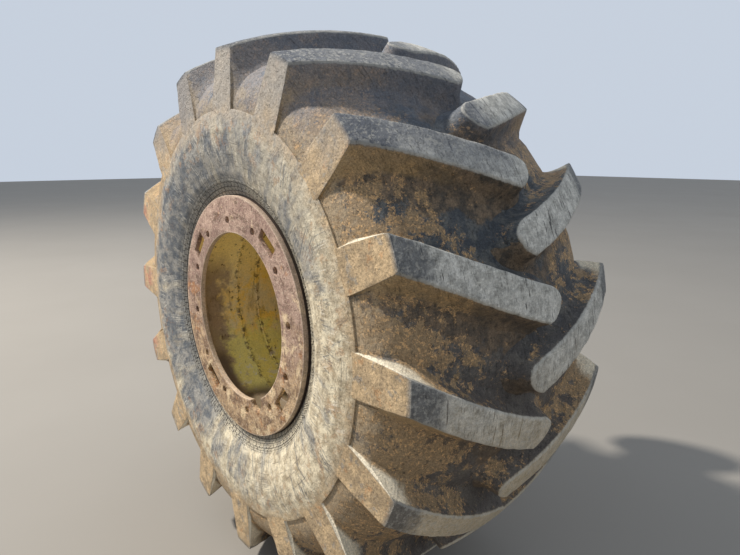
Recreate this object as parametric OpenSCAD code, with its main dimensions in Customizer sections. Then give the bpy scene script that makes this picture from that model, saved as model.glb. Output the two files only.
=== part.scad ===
// Rear wheel of a log skidder on the end of its axle: a lugged forestry tyre on a wide rim with an
// outer ring plate, the wheel disc, the planetary hub and the axle housing that carries it.
// The origin is on the housing's inboard flange. -Y points outboard, +X forward and +Z up.

/* [Tyre] */
// Outside diameter over the lugs
tyre_od = 2000; // [1900:10:2080]
// Width over the lugs' outer ends
tread_w = 898; // [880:2:916]
// Radius of the tread's crown, seen in section
crown_r = 1250; // [1100:10:1500]
// Depth of the grooves at the tread's centre
groove_depth = 75; // [60:1:90]
// Radius of the groove floor's crown, seen in section
floor_arc_r = 1100; // [1000:10:1250]
// Radius of the groove floor's rounded shoulders, seen in section
shoulder_arc_r = 160; // [150:1:170]
// Distance that the crease below the shoulder stands inside the widest section
crease_in = 14.5; // [12:0.5:18]
// Width over the bulging sidewalls
section_w = 940; // [930:2:960]
// Height of the widest place of the sidewall above the wheel's centre
side_widest_r = 640; // [620:5:660]
// Distance that the sidewall stands outside the bead seat at the height of the rim's flange
side_past_rim = 15.1; // [10:0.1:22]
// Thickness under the groove floor
tread_t = 45; // [30:1:60]
// Thickness of the sidewall
side_t = 28; // [20:1:36]
// Width of each bead on the rim
bead_w = 55; // [40:1:70]

/* [Lugs] */
// Lugs in each of the two rows
lugs_per_row = 16; // [14:1:18]
// Width of a lug's worn top
lug_w = 99; // [80:1:110]
// Angle that a lug sweeps from its outer end to the centre of the tread
lug_sweep = 12.2; // [8:0.2:14]
// Angle by which the middle of a lug bows out of its chord
lug_bow = 1; // [0:0.1:2]
// Distance that a lug's nose reaches past the tread's centre
nose_past = 75; // [50:1:85]
// Distance that a flank runs out at its knee
flank_knee = 14; // [8:1:20]
// Distance that a flank runs out at its root
flank_root = 38; // [26:1:42]

/* [Rim] */
// Diameter of the bead seats
bead_d = 813; // [805:1:820]
// Width between the rim's flanges
rim_w = 787.4; // [780:0.2:795]
// Outside diameter of the flanges
flange_od = 864; // [850:1:872]
// Axial thickness of the outboard flange's lip
lip_w = 25.3; // [18:0.1:30]
// Thickness of the barrel's plate
barrel_t = 14; // [10:1:18]
// Drop from the bead seat to the barrel's wide waist
waist_drop = 10.5; // [6:0.5:14]
// Drop from the bead seat to the mounting well
well_drop = 34; // [26:1:40]

/* [Ring plate] */
// Thickness of the outer ring plate
ring_t = 18; // [12:1:22]
// Diameter of the ring plate's opening
ring_bore_d = 604.8; // [580:0.4:620]
// Diameter of the circle through the ring's bolt holes
ring_pcd = 692.5; // [685:0.5:700]
// Diameter of the ring's bolt holes
ring_hole_d = 27; // [20:1:32]
// Bolt holes in the ring
ring_holes = 12; // [12:1:12]
// Radius of the windows' centre line
window_r = 368; // [364:1:370]
// Length of a window along the ring
window_len = 99; // [80:1:106]
// Height of a window
window_h = 44; // [30:1:46]
// Width of the notch that gives access to the valve
notch_w = 78; // [60:1:90]
// Depth of the notch from the opening's edge
notch_depth = 40; // [30:1:46]

/* [Disc] */
// Thickness of the wheel disc
disc_t = 25; // [20:1:32]
// Distance of the tyre's centre outboard of the hub's wheel face
outset = 78; // [66:1:84]
// Leg of the weld fillets around the disc
weld_leg = 12; // [8:1:16]
// Diameter of the disc's pilot hole
pilot_d = 371; // [360:1:378]
// Diameter of the circle of wheel studs
stud_pcd = 425; // [420:1:432]
// Wheel studs
stud_n = 20; // [16:1:20]
// Diameter of a wheel stud
stud_d = 22; // [18:1:24]
// Width across flats of a wheel nut
nut_af = 32; // [30:1:36]
// Height of a wheel nut
nut_h = 27; // [20:1:30]

/* [Hub] */
// Distance of the hub's wheel face outboard of the axle flange
hub_face_out = 985; // [960:1:1000]
// Diameter of the hub's wheel flange
hub_flange_d = 492; // [480:1:510]
// Thickness of the hub's wheel flange
hub_flange_t = 30; // [24:1:36]
// Diameter of the hub's bell, inboard of the wheel flange
bell_d = 380; // [360:1:384]
// Length of the bell and flange together
bell_len = 173; // [160:1:180]
// Length of the planetary case outboard of the wheel face
case_len = 145; // [120:1:160]
// Diameter of the bearing seat that the hub turns on
seat_d = 190; // [170:1:210]
// Length of the bearing seat inside the hub
seat_len = 135; // [110:1:140]
// Height of the domed cover
cover_h = 34; // [26:1:40]
// Diameter of the circle of cover bolts
cover_pcd = 316; // [300:1:322]
// Cover bolts
cover_bolts_n = 12; // [8:1:14]

/* [Axle] */
// Diameter of the inboard flange
axle_flange_d = 460; // [450:1:480]
// Thickness of the inboard flange
axle_flange_t = 28; // [22:1:34]
// Diameter of the circle of holes in the inboard flange
axle_pcd = 410; // [405:1:416]
// Holes in the inboard flange
axle_holes = 16; // [16:1:16]
// Diameter of a hole in the inboard flange
axle_hole_d = 18; // [14:1:20]
// Diameter of the opening for the drive shaft
shaft_bore_d = 124; // [110:1:130]
// Depth of the opening for the drive shaft
shaft_bore_len = 560; // [500:5:580]
// Diameter of the housing's neck
neck_d = 270; // [250:1:290]
// Distance that the neck runs on past the frame pad before it flares
neck_past_pad = 85; // [70:1:95]
// Diameter of the housing's outboard flange and of the brake housing
brake_d = 450; // [430:1:460]
// Thickness of the housing's outboard flange
brake_flange_t = 24; // [20:1:30]
// Length of the brake housing
brake_len = 135; // [120:1:140]
// Diameter of the circle of brake housing bolts
brake_pcd = 416; // [406:1:424]
// Brake housing bolts
brake_bolts_n = 16; // [12:1:18]
// Gap between the brake housing's face and the turning hub
hub_gap = 12; // [8:1:16]
// Diameter of the spindle's collar
collar_d = 260; // [240:1:270]
// Diameter of the seal ring around the collar
seal_d = 312; // [290:1:320]

/* [Frame pad] */
// Distance of the pad's centre outboard of the axle flange
pad_out = 330; // [320:1:340]
// Length of the pad along the axle
pad_len = 200; // [180:2:210]
// Width of the pad across the axle
pad_w = 330; // [310:2:340]
// Height of the pad's top above the axle's centre
pad_top = 200; // [190:1:210]
// Thickness of the pad
pad_t = 36; // [30:1:44]
// Distance between the pad's holes along the axle
pad_pitch_out = 130; // [120:1:136]
// Distance between the pad's holes across the axle
pad_pitch_x = 260; // [250:1:270]
// Diameter of the pad's holes
pad_hole_d = 33; // [26:1:36]

/* [Hidden] */

$fn = 96;
eps = 0.01;
fit = 0.3;
running_fit = 0.05;
end_gap = 5;

// Stations, measured outboard from the axle flange's face
centre_out = hub_face_out + outset;
rim_half = rim_w / 2;
ring_back_out = centre_out + rim_half + lip_w;
ring_face_out = ring_back_out + ring_t;
hub_in_out = hub_face_out - bell_len;
brake_face_out = hub_in_out - hub_gap;
brake_back_out = brake_face_out - brake_len;
case_end_out = hub_face_out + case_len;

// Radii of the rim
seat_r = bead_d / 2;
flange_r = flange_od / 2;
barrel_in_r = seat_r - barrel_t;
waist_r = seat_r - waist_drop;
waist_in_r = waist_r - barrel_t;
well_r = seat_r - well_drop;
well_in_r = well_r - barrel_t;

// Angles, counted from forward towards up
hole_a = 97.07;
window_a = 52.07;
windows = 4;
notch_a = -68;

// Colours
rubber = "#4b4843";
rust = "#8d6a57";
paint = "#b08d2c";
iron = "#6d675d";
bolt_steel = "#7c7468";

// Turns a solid whose axis is Z so that its axis lies along the axle, with Z outboard
module along_axle() rotate([90, 0, 0]) children();

// Copies children around the axis, n times, starting at angle a0
module round_copies(n, a0 = 0) for (i = [0:n - 1]) rotate([0, 0, a0 + i * 360 / n]) children();

// A hexagon bolt head that points outboard, with its washer face and a shank sunk below it
module hex_bolt(af, h, d, sink) {
    cylinder(h = h, d = af / cos(30), $fn = 6);
    translate([0, 0, -sink]) cylinder(h = sink + h / 2, d = d, $fn = 24);
}

// Height of the lugs' tops and of the groove floor above the wheel's centre, w off the tyre's centre
function top_r(w) = tyre_od / 2 - crown_r + sqrt(crown_r * crown_r - w * w);
floor_centre_r = tyre_od / 2 - groove_depth - floor_arc_r;
shoulder_w = section_w / 2 - crease_in - shoulder_arc_r;
shoulder_a = asin(shoulder_w / (floor_arc_r - shoulder_arc_r));
shoulder_centre_r = floor_centre_r + (floor_arc_r - shoulder_arc_r) * cos(shoulder_a);
function floor_r(w) =
    w < floor_arc_r * sin(shoulder_a)
        ? floor_centre_r + sqrt(pow(floor_arc_r, 2) - w * w)
        : shoulder_centre_r + sqrt(max(0, pow(shoulder_arc_r, 2) - pow(w - shoulder_w, 2)));

// Half width of the section at radius r: it bulges from the rim's flange to the widest place
side_rise = side_widest_r - flange_r;
side_bulge = section_w / 2 - rim_half - side_past_rim;
function side_w(r) = section_w / 2 - side_bulge * pow((r - side_widest_r) / side_rise, 2);

// Half of the groove floor's section: from the crease up the shoulder's arc, then along the crown
function floor_half(inset, shoulder_steps, crown_steps) = concat(
    [for (i = [0:shoulder_steps])
        let (a = 90 - i * (90 - shoulder_a) / shoulder_steps, r = shoulder_arc_r - inset)
        [shoulder_centre_r + r * cos(a), shoulder_w + r * sin(a)]],
    [for (i = [1:crown_steps])
        let (a = shoulder_a * (1 - i / crown_steps), r = floor_arc_r - inset)
        [floor_centre_r + r * cos(a), r * sin(a)]]
);

// Both halves of a section, given the half that ends at the tyre's centre plane
function both_halves(half) = concat(half, [for (i = [len(half) - 2:-1:0]) [half[i][0], -half[i][1]]]);

// The section above radius r0, from the sidewall up to the crease and over the groove floor
module section_shape(r0, inset_tread, inset_side, side_steps, floor_steps) {
    span = shoulder_centre_r - r0;
    side = [for (i = [0:side_steps - 1]) let (r = r0 + span * i / side_steps) [r, side_w(r) - inset_side]];
    polygon(both_halves(concat(side, floor_half(inset_tread, floor_steps, floor_steps - 1))));
}

// The carcass is turned in flat steps, so what seats on the round rim is eased by the flats' depth
tyre_steps = 32;
flat_ease = 1 / cos(180 / tyre_steps);
bead_r = (seat_r + fit) * flat_ease;
bead_t = 30;
bead_half = rim_half - fit;

module carcass_outside() {
    relief_r = (flange_r + fit) * flat_ease;
    rotate_extrude($fn = tyre_steps) difference() {
        section_shape(bead_r, 0, 0, 4, 3);
        for (side = [-1, 1])
            translate([0, side > 0 ? bead_half : -section_w - bead_half]) square([relief_r, section_w]);
    }
}

// The air space, open between the beads where the rim closes it
module cavity() {
    rotate_extrude($fn = tyre_steps) union() {
        section_shape(bead_r + bead_t, tread_t, side_t, 3, 2);
        translate([seat_r / 2, bead_w - bead_half])
            square([bead_r + bead_t + eps - seat_r / 2, 2 * (bead_half - bead_w)]);
    }
}

// A lug is a stack of three outlines: its root below the groove floor, its knee and its worn top.
// Columns: distance off the tyre's centre at the trailing edge, the same at the leading edge,
// half width in lug widths at the trailing edge and at the leading edge, share of the run past the nose
tread_half = tread_w / 2;
root_sink = 22;
knee_at = 0.35;
end_foot_r = 690;
end_foot_w = section_w / 2 - 5;
lug_stations = [
    [tread_half, tread_half, 1, 1, 0],
    [tread_half * 0.6, tread_half * 0.6, 1, 1, 0],
    [tread_half * 0.22, tread_half * 0.27, 1, 1, 0],
    [45 - nose_past, 65 - nose_past, 1, 0.95, 0],
    [-nose_past, 14 - nose_past, 0.6, 0.13, 1]
];
lug_angle = lug_w / 2 / top_r(tread_half) * 180 / PI;
function run_angle(run) = run / top_r(tread_half) * 180 / PI;

// Angle of a lug's middle, w off the tyre's centre, counted from its outer end
function lug_a(w) =
    let (u = (tread_half - w) / tread_half)
    -lug_sweep * u - 4 * lug_bow * u * (1 - u);
function on_wheel(r, a, w) = [r * cos(a), r * sin(a), w];

// Points of one station's edge, side 1 trailing and -1 leading: root, knee and top
function edge_points(s, side) =
    let (w = side > 0 ? s[0] : s[1],
         half = side > 0 ? s[2] : s[3],
         out_end = w > tread_half - eps,
         floor_h = floor_r(w),
         rise = top_r(w) - floor_h,
         a = lug_a(w))
    [
        on_wheel(out_end ? end_foot_r : floor_h - root_sink,
                 a + side * (half * lug_angle + run_angle(flank_root)),
                 out_end ? end_foot_w : w - s[4] * flank_root),
        on_wheel(floor_h + knee_at * rise,
                 a + side * (half * lug_angle + run_angle(flank_knee)),
                 out_end ? tread_half + (1 - knee_at) * (end_foot_w - tread_half) : w - s[4] * flank_knee),
        on_wheel(top_r(w), a + side * half * lug_angle, w)
    ];

// Hulls of neighbouring stations, the upper block from knee to top and the flared root below it
module lug() {
    last = len(lug_stations) - 2;
    for (i = [0:last], layer = [0:1])
        hull() polyhedron(
            [for (s = [lug_stations[i], lug_stations[i + 1]], side = [-1, 1], k = [0:1])
                edge_points(s, side)[layer + k]],
            [[0, 1, 3, 2], [4, 6, 7, 5], [0, 4, 5, 1], [2, 3, 7, 6], [0, 2, 6, 4], [1, 5, 7, 3]]
        );
}

module tyre() {
    pitch = 360 / lugs_per_row;
    outer_a = 89.4;
    color(rubber) along_axle() translate([0, 0, centre_out]) difference() {
        union() {
            carcass_outside();
            round_copies(lugs_per_row, outer_a) lug();
            round_copies(lugs_per_row, outer_a - pitch / 2) mirror([0, 0, 1]) lug();
        }
        cavity();
    }
}

// Columns: distance off the tyre's centre, radius. From the outboard lip round to the inboard one.
seat_in = rim_half - bead_w;
barrel_outside = [
    [rim_half + lip_w, flange_r], [rim_half + 8, flange_r], [rim_half, flange_r - 8],
    [rim_half, seat_r], [seat_in, seat_r - 2], [240, waist_r], [-108, waist_r], [-140, well_r],
    [-290, well_r], [-seat_in, seat_r - 2], [-rim_half, seat_r], [-rim_half, flange_r - 8],
    [-rim_half - 8, flange_r], [-rim_half - 18, flange_r]
];
barrel_inside = [
    [-rim_half - 18, flange_r - 10], [-rim_half - barrel_t, flange_r - 20],
    [-rim_half - barrel_t, barrel_in_r + 8], [-rim_half, barrel_in_r], [-seat_in + 4, barrel_in_r - 2],
    [-294, well_in_r], [-134, well_in_r], [-102, waist_in_r], [236, waist_in_r],
    [seat_in - 4, barrel_in_r], [rim_half + lip_w, barrel_in_r]
];

module rim_barrel() {
    color(paint) along_axle() translate([0, 0, centre_out])
        rotate_extrude($fn = 180) polygon([for (p = concat(barrel_outside, barrel_inside)) [p[1], p[0]]]);
}

module ring_plate() {
    color(rust) along_axle() translate([0, 0, ring_back_out]) difference() {
        cylinder(h = ring_t, r = flange_r, $fn = 180);
        translate([0, 0, -1]) cylinder(h = ring_t + 2, d = ring_bore_d, $fn = 180);
        round_copies(ring_holes, hole_a)
            translate([ring_pcd / 2, 0, -1]) cylinder(h = ring_t + 2, d = ring_hole_d);
        round_copies(windows, window_a)
            translate([window_r, 0, ring_t / 2]) cube([window_h, window_len, ring_t + 2], center = true);
        rotate([0, 0, notch_a]) valve_notch();
    }
}

// The notch is a slot with a round bottom, open to the ring's opening
module valve_notch() {
    corner_r = notch_w / 2;
    bottom = ring_bore_d / 2 + notch_depth;
    translate([bottom - corner_r, 0, -1]) cylinder(h = ring_t + 2, r = corner_r);
    translate([bottom - corner_r - notch_w, -corner_r, -1]) cube([notch_w, notch_w, ring_t + 2]);
}

// Where a flat foot of a given half width sits on the barrel's inner wall
function seat_on_barrel(half) = sqrt(pow(barrel_in_r - fit, 2) - half * half);

// A short square socket, welded to the barrel behind one window
module socket_bracket() {
    size = 42;
    hole = 28;
    depth = 40;
    color(rust) along_axle() rotate([0, 0, window_a - 90])
        translate([seat_on_barrel(size / 2) - size / 2, 0, ring_back_out - 20 - depth / 2]) difference() {
            cube([size, size, depth], center = true);
            cube([hole, hole, depth + 2], center = true);
        }
}

module wheel_disc() {
    edge_r = waist_in_r - fit;
    color(paint) along_axle() translate([0, 0, hub_face_out]) difference() {
        rotate_extrude($fn = 180) polygon([
            [pilot_d / 2, 0], [edge_r - weld_leg, 0], [edge_r, -weld_leg], [edge_r, disc_t + weld_leg],
            [edge_r - weld_leg, disc_t], [pilot_d / 2, disc_t]
        ]);
        round_copies(stud_n)
            translate([stud_pcd / 2, 0, -1]) cylinder(h = disc_t + 2, d = stud_d + 2, $fn = 32);
    }
}

module wheel_studs() {
    tail = 12;
    color(bolt_steel) along_axle() round_copies(stud_n) translate([stud_pcd / 2, 0, hub_face_out + disc_t]) {
        cylinder(h = nut_h, d = nut_af / cos(30), $fn = 6);
        translate([0, 0, -disc_t - hub_flange_t])
            cylinder(h = disc_t + hub_flange_t + nut_h + tail, d = stud_d, $fn = 32);
    }
}

module hub() {
    mouth_r = bell_d / 2 - 30;
    color(paint) along_axle() translate([0, 0, hub_in_out]) difference() {
        rotate_extrude($fn = 120) polygon([
            [0, 0], [mouth_r, 0], [bell_d / 2, 30], [bell_d / 2, bell_len - hub_flange_t - 24],
            [bell_d / 2 + 8, bell_len - hub_flange_t], [hub_flange_d / 2, bell_len - hub_flange_t],
            [hub_flange_d / 2, bell_len], [pilot_d / 2 - fit, bell_len],
            [pilot_d / 2 - fit, bell_len + disc_t + 8], [pilot_d / 2 - 6, bell_len + disc_t + 14],
            [pilot_d / 2 - 6, bell_len + case_len - 4], [pilot_d / 2 - 10, bell_len + case_len],
            [0, bell_len + case_len]
        ]);
        translate([0, 0, -1]) cylinder(h = seat_len + 1 + end_gap, r = seat_d / 2 + running_fit, $fn = 120);
        round_copies(stud_n) translate([stud_pcd / 2, 0, bell_len - hub_flange_t - 1])
            cylinder(h = hub_flange_t + 2, d = stud_d + 2 * fit, $fn = 32);
    }
}

cover_r = pilot_d / 2 - 10;
cover_rim_t = 12;
cover_land = cover_h - 10;
plug_r = 96;

module hub_cover() {
    boss_r = 44;
    color(paint) along_axle() translate([0, 0, case_end_out]) rotate_extrude($fn = 120) polygon([
        [0, 0], [cover_r, 0], [cover_r, cover_rim_t], [cover_pcd / 2 - 16, cover_rim_t],
        [cover_pcd / 2 - 40, cover_land], [plug_r - 18, cover_land], [boss_r + 4, cover_h - 4],
        [boss_r, cover_h], [0, cover_h]
    ]);
}

module cover_bolts() {
    color(bolt_steel) along_axle() round_copies(cover_bolts_n)
        translate([cover_pcd / 2, 0, case_end_out + cover_rim_t]) hex_bolt(19, 9, 12, 0);
}

module cover_plug() {
    color(bolt_steel) along_axle() rotate([0, 0, -90])
        translate([plug_r, 0, case_end_out + cover_land]) hex_bolt(24, 10, 20, 0);
}

stem_d = 12;
stem_r = ring_bore_d / 2 + 28;
stem_out = centre_out + rim_half - 40;
cap_h = 16;
cap_out = ring_back_out - 8 - cap_h;

// The stem stands on the barrel and bends outboard behind the notch
module valve_stem() {
    foot_d = 30;
    foot_h = 7;
    foot_r = seat_on_barrel(foot_d / 2) - foot_h;
    color("#9a7f45") along_axle() rotate([0, 0, notch_a]) translate([0, 0, stem_out]) {
        translate([foot_r, 0, 0]) rotate([0, 90, 0]) cylinder(h = foot_h, d = foot_d, $fn = 6);
        translate([stem_r, 0, 0]) rotate([0, 90, 0]) cylinder(h = foot_r + 2 - stem_r, d = stem_d, $fn = 32);
        translate([stem_r, 0, 0]) sphere(d = stem_d, $fn = 32);
        translate([stem_r, 0, 0]) cylinder(h = cap_out - stem_out, d = stem_d, $fn = 32);
    }
}

module valve_cap() {
    color("#2b2b2b") along_axle() rotate([0, 0, notch_a])
        translate([stem_r, 0, cap_out]) cylinder(h = cap_h, d = 16, $fn = 32);
}

module frame_pad() {
    web_t = 20;
    web_in = 5;
    translate([0, pad_top - pad_t / 2, pad_out]) cube([pad_w, pad_t, pad_len], center = true);
    for (z = [pad_out - pad_len / 2 + web_in, pad_out + pad_len / 2 - web_in - web_t])
        translate([0, 0, z]) linear_extrude(web_t)
            polygon([[-pad_w / 2 + 20, pad_top - 20], [-neck_d / 2 + 6, 0], [neck_d / 2 - 6, 0],
                     [pad_w / 2 - 20, pad_top - 20]]);
}

module axle_housing() {
    ribs = 8;
    rib_t = 16;
    flare_r = 190;
    neck_r = neck_d / 2;
    neck_in = 250;
    neck_end = pad_out + pad_len / 2 + neck_past_pad;
    flange_in = brake_back_out - brake_flange_t;
    color(iron) along_axle() difference() {
        union() {
            rotate_extrude($fn = 120) polygon([
                [0, 0], [axle_flange_d / 2, 0], [axle_flange_d / 2, axle_flange_t],
                [flare_r - 18, axle_flange_t], [flare_r - 24, 70], [neck_r, neck_in], [neck_r, neck_end],
                [neck_r + 46, flange_in - 12], [neck_r + 46, flange_in], [brake_d / 2, flange_in],
                [brake_d / 2, brake_back_out], [0, brake_back_out]
            ]);
            round_copies(ribs, 360 / ribs / 2) rotate([90, 0, 0]) translate([0, 0, -rib_t / 2])
                linear_extrude(rib_t) polygon([
                    [neck_r - 20, axle_flange_t - 2], [flare_r, axle_flange_t - 2],
                    [neck_r - 8, neck_in + 25], [neck_r - 20, neck_in + 25]
                ]);
            frame_pad();
        }
        translate([0, 0, -1]) cylinder(h = shaft_bore_len + 1, d = shaft_bore_d, $fn = 120);
        round_copies(axle_holes, 360 / axle_holes / 2)
            translate([axle_pcd / 2, 0, -1]) cylinder(h = axle_flange_t + 2, d = axle_hole_d, $fn = 32);
        for (x = [-1, 1], z = [-1, 1])
            translate([x * pad_pitch_x / 2, pad_top + 1, pad_out + z * pad_pitch_out / 2])
                rotate([90, 0, 0]) cylinder(h = pad_t + 2, d = pad_hole_d, $fn = 32);
    }
}

module brake_housing() {
    color(iron) along_axle() translate([0, 0, brake_back_out]) rotate_extrude($fn = 120) polygon([
        [0, 0], [brake_d / 2, 0], [brake_d / 2, 22], [brake_d / 2 - 12, 30], [brake_d / 2 - 12, 62],
        [brake_d / 2 - 4, 70], [brake_d / 2 - 4, 100], [brake_d / 2 - 20, brake_len - 12],
        [brake_d / 2 - 34, brake_len], [0, brake_len]
    ]);
}

module brake_bolts() {
    color(bolt_steel) along_axle() round_copies(brake_bolts_n)
        translate([brake_pcd / 2, 0, brake_back_out - brake_flange_t])
            mirror([0, 0, 1]) hex_bolt(24, 12, 16, 0);
}

module brake_port() {
    color(bolt_steel) along_axle() rotate([0, 0, 150])
        translate([brake_d / 2 - 12, 0, brake_back_out + 46]) rotate([0, 90, 0]) hex_bolt(22, 20, 14, 0);
}

module breather() {
    color(bolt_steel) along_axle() translate([0, neck_d / 2, pad_out + pad_len / 2 + 40])
        rotate([-90, 0, 0]) {
            cylinder(h = 12, d = 20 / cos(30), $fn = 6);
            translate([0, 0, 12]) cylinder(h = 16, d = 24);
        }
}

module drain_plug() {
    color(bolt_steel) along_axle() translate([0, -neck_d / 2, pad_out]) rotate([90, 0, 0])
        hex_bolt(27, 12, 20, 0);
}

module spindle() {
    collar_r = collar_d / 2;
    color(iron) along_axle() translate([0, 0, brake_face_out]) rotate_extrude($fn = 120) polygon([
        [0, 0], [collar_r, 0], [collar_r, 5], [seat_d / 2, hub_gap - 5],
        [seat_d / 2, hub_gap + seat_len - 4], [seat_d / 2 - 4, hub_gap + seat_len], [0, hub_gap + seat_len]
    ]);
}

module seal_ring() {
    color("#3a3835") along_axle() translate([0, 0, brake_face_out]) difference() {
        cylinder(h = hub_gap - end_gap, d = seal_d, $fn = 120);
        translate([0, 0, -1]) cylinder(h = hub_gap, r = collar_d / 2 + fit, $fn = 120);
    }
}

tyre();
rim_barrel();
ring_plate();
socket_bracket();
wheel_disc();
wheel_studs();
valve_stem();
valve_cap();
hub();
hub_cover();
cover_bolts();
cover_plug();
axle_housing();
brake_housing();
brake_bolts();
brake_port();
breather();
drain_plug();
spindle();
seal_ring();
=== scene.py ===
"""Looks of a skidder's rear wheel on the end of its axle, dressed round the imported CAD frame.

Metres throughout, in the frame of the CAD model: +X forward, -Y outboard, +Z up. The axle's axis is
the Y axis. "Out" is a distance outboard of the axle flange, and an angle is counted from forward to up.
"""

import logging
import math
from collections.abc import Sequence
from dataclasses import dataclass
from enum import Enum
from functools import cached_property

import bmesh
import bpy
import numpy as np
from mathutils import Matrix, Vector


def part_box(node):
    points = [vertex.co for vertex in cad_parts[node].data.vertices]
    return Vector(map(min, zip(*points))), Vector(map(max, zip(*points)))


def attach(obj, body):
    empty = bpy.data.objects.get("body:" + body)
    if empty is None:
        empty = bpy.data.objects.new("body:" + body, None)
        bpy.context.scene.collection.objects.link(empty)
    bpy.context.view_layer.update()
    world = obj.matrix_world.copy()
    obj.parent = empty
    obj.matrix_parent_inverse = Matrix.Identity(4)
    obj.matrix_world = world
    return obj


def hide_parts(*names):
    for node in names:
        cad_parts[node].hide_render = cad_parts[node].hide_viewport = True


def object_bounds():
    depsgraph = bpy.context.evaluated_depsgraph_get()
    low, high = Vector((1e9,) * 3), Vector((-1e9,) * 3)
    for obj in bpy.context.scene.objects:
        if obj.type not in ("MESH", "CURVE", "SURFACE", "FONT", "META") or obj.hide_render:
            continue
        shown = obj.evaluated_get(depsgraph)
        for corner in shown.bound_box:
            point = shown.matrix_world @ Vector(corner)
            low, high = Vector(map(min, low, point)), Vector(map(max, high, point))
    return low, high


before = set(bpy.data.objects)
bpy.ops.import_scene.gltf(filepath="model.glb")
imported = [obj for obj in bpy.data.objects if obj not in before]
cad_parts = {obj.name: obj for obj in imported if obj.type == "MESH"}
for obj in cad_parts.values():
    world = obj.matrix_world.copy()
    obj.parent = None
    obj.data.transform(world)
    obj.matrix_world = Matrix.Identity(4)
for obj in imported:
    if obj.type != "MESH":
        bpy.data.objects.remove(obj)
CAD_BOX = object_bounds()

LOG = logging.getLogger("scene")
MM = 0.001
MERGE = 0.01 * MM
FULL_TURN = 2 * math.pi
WHEEL = "wheel"
AXLE = "axle"
CENTRE_OUT = 1.063
MATH = "ShaderNodeMath"
Socket = bpy.types.NodeSocket
Value = float | tuple | Socket
Point = tuple[float, float]


# Trees and surfaces


def srgb(code: str) -> tuple[float, float, float, float]:
    """Turns a hex colour into the linear colour that a shader takes.

    Args:
        code: Colour as # and six hex digits.

    Returns:
        Red, green, blue and alpha, each from 0 to 1.
    """
    parts = (int(code[i : i + 2], 16) / 255 for i in (1, 3, 5))
    linear = (c / 12.92 if c <= 0.04045 else ((c + 0.055) / 1.055) ** 2.4 for c in parts)
    return (*linear, 1.0)


class Kind(Enum):
    """Kinds of node in use: type name, inputs in the order in which they are given, settings, output."""

    ADD = (MATH, (0, 1), {"operation": "ADD"})
    SUBTRACT = (MATH, (0, 1), {"operation": "SUBTRACT"})
    MULTIPLY = (MATH, (0, 1), {"operation": "MULTIPLY"})
    DIVIDE = (MATH, (0, 1), {"operation": "DIVIDE"})
    POWER = (MATH, (0, 1), {"operation": "POWER"})
    MAXIMUM = (MATH, (0, 1), {"operation": "MAXIMUM"})
    ARCTAN2 = (MATH, (0, 1), {"operation": "ARCTAN2"})
    MULTIPLY_ADD = (MATH, (0, 1, 2), {"operation": "MULTIPLY_ADD"})
    SQRT = (MATH, (0,), {"operation": "SQRT"})
    ABSOLUTE = (MATH, (0,), {"operation": "ABSOLUTE"})
    COSINE = (MATH, (0,), {"operation": "COSINE"})
    SINE = (MATH, (0,), {"operation": "SINE"})
    FADE = ("ShaderNodeMapRange", ("Value", "From Min", "From Max"), {"interpolation_type": "SMOOTHSTEP"})
    MIX = ("ShaderNodeMix", (0, 6, 7), {"data_type": "RGBA"}, 2)
    BRIGHTEN = ("ShaderNodeHueSaturation", ("Value", "Color"))
    CLOUDS = (
        "ShaderNodeTexNoise",
        ("Vector", "W", "Scale", "Detail", "Roughness", "Distortion"),
        {"noise_dimensions": "4D"},
    )
    BLOCKS = (
        "ShaderNodeTexBrick",
        ("Vector", "Scale", "Mortar Size", "Mortar Smooth", "Brick Width", "Row Height"),
        {"offset": 0.5},
        "Fac",
    )
    JOIN = ("ShaderNodeCombineXYZ", (0, 1, 2))
    SPLIT = ("ShaderNodeSeparateXYZ", (0,))
    PLACE = ("ShaderNodeTexCoord", (), {}, "Object")
    MARK = ("ShaderNodeAttribute", (), {}, "Fac")
    BUMP = ("ShaderNodeBump", ("Height", "Distance", "Normal"))
    SHADER = ("ShaderNodeBsdfPrincipled",)
    SHOWN = ("ShaderNodeOutputMaterial", ("Surface",))
    GIVEN = ("NodeGroupInput",)
    RESULT = ("NodeGroupOutput", (0,))
    POINTS = ("GeometryNodePoints", ("Count",))
    INDEX = ("GeometryNodeInputIndex",)
    TURN = ("FunctionNodeEulerToRotation", (0,))
    COPIES = ("GeometryNodeInstanceOnPoints", ("Points", "Instance", "Rotation"))
    REALIZED = ("GeometryNodeRealizeInstances", (0,))
    NAMED = ("GeometryNodeInputNamedAttribute", ("Name",), {"data_type": "FLOAT"})
    NORMAL = ("GeometryNodeInputNormal",)
    LENGTHEN = ("ShaderNodeVectorMath", (0, "Scale"), {"operation": "SCALE"})
    MOVED = ("GeometryNodeSetPosition", ("Geometry", "Offset"))
    COATED = ("GeometryNodeSetMaterial", ("Geometry", "Material"))

    def __init__(
        self, type_name: str, inputs: tuple = (), settings: dict | None = None, output: int | str = 0
    ) -> None:
        """Keeps the parts of the kind under their names.

        Args:
            type_name: Blender's name of the node type.
            inputs: Names or numbers of the inputs, in the order in which they are given.
            settings: Values of the node's own settings.
            output: Name or number of the output in use.
        """
        self.type_name = type_name
        self.inputs = inputs
        self.settings = settings or {}
        self.output = output


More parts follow.
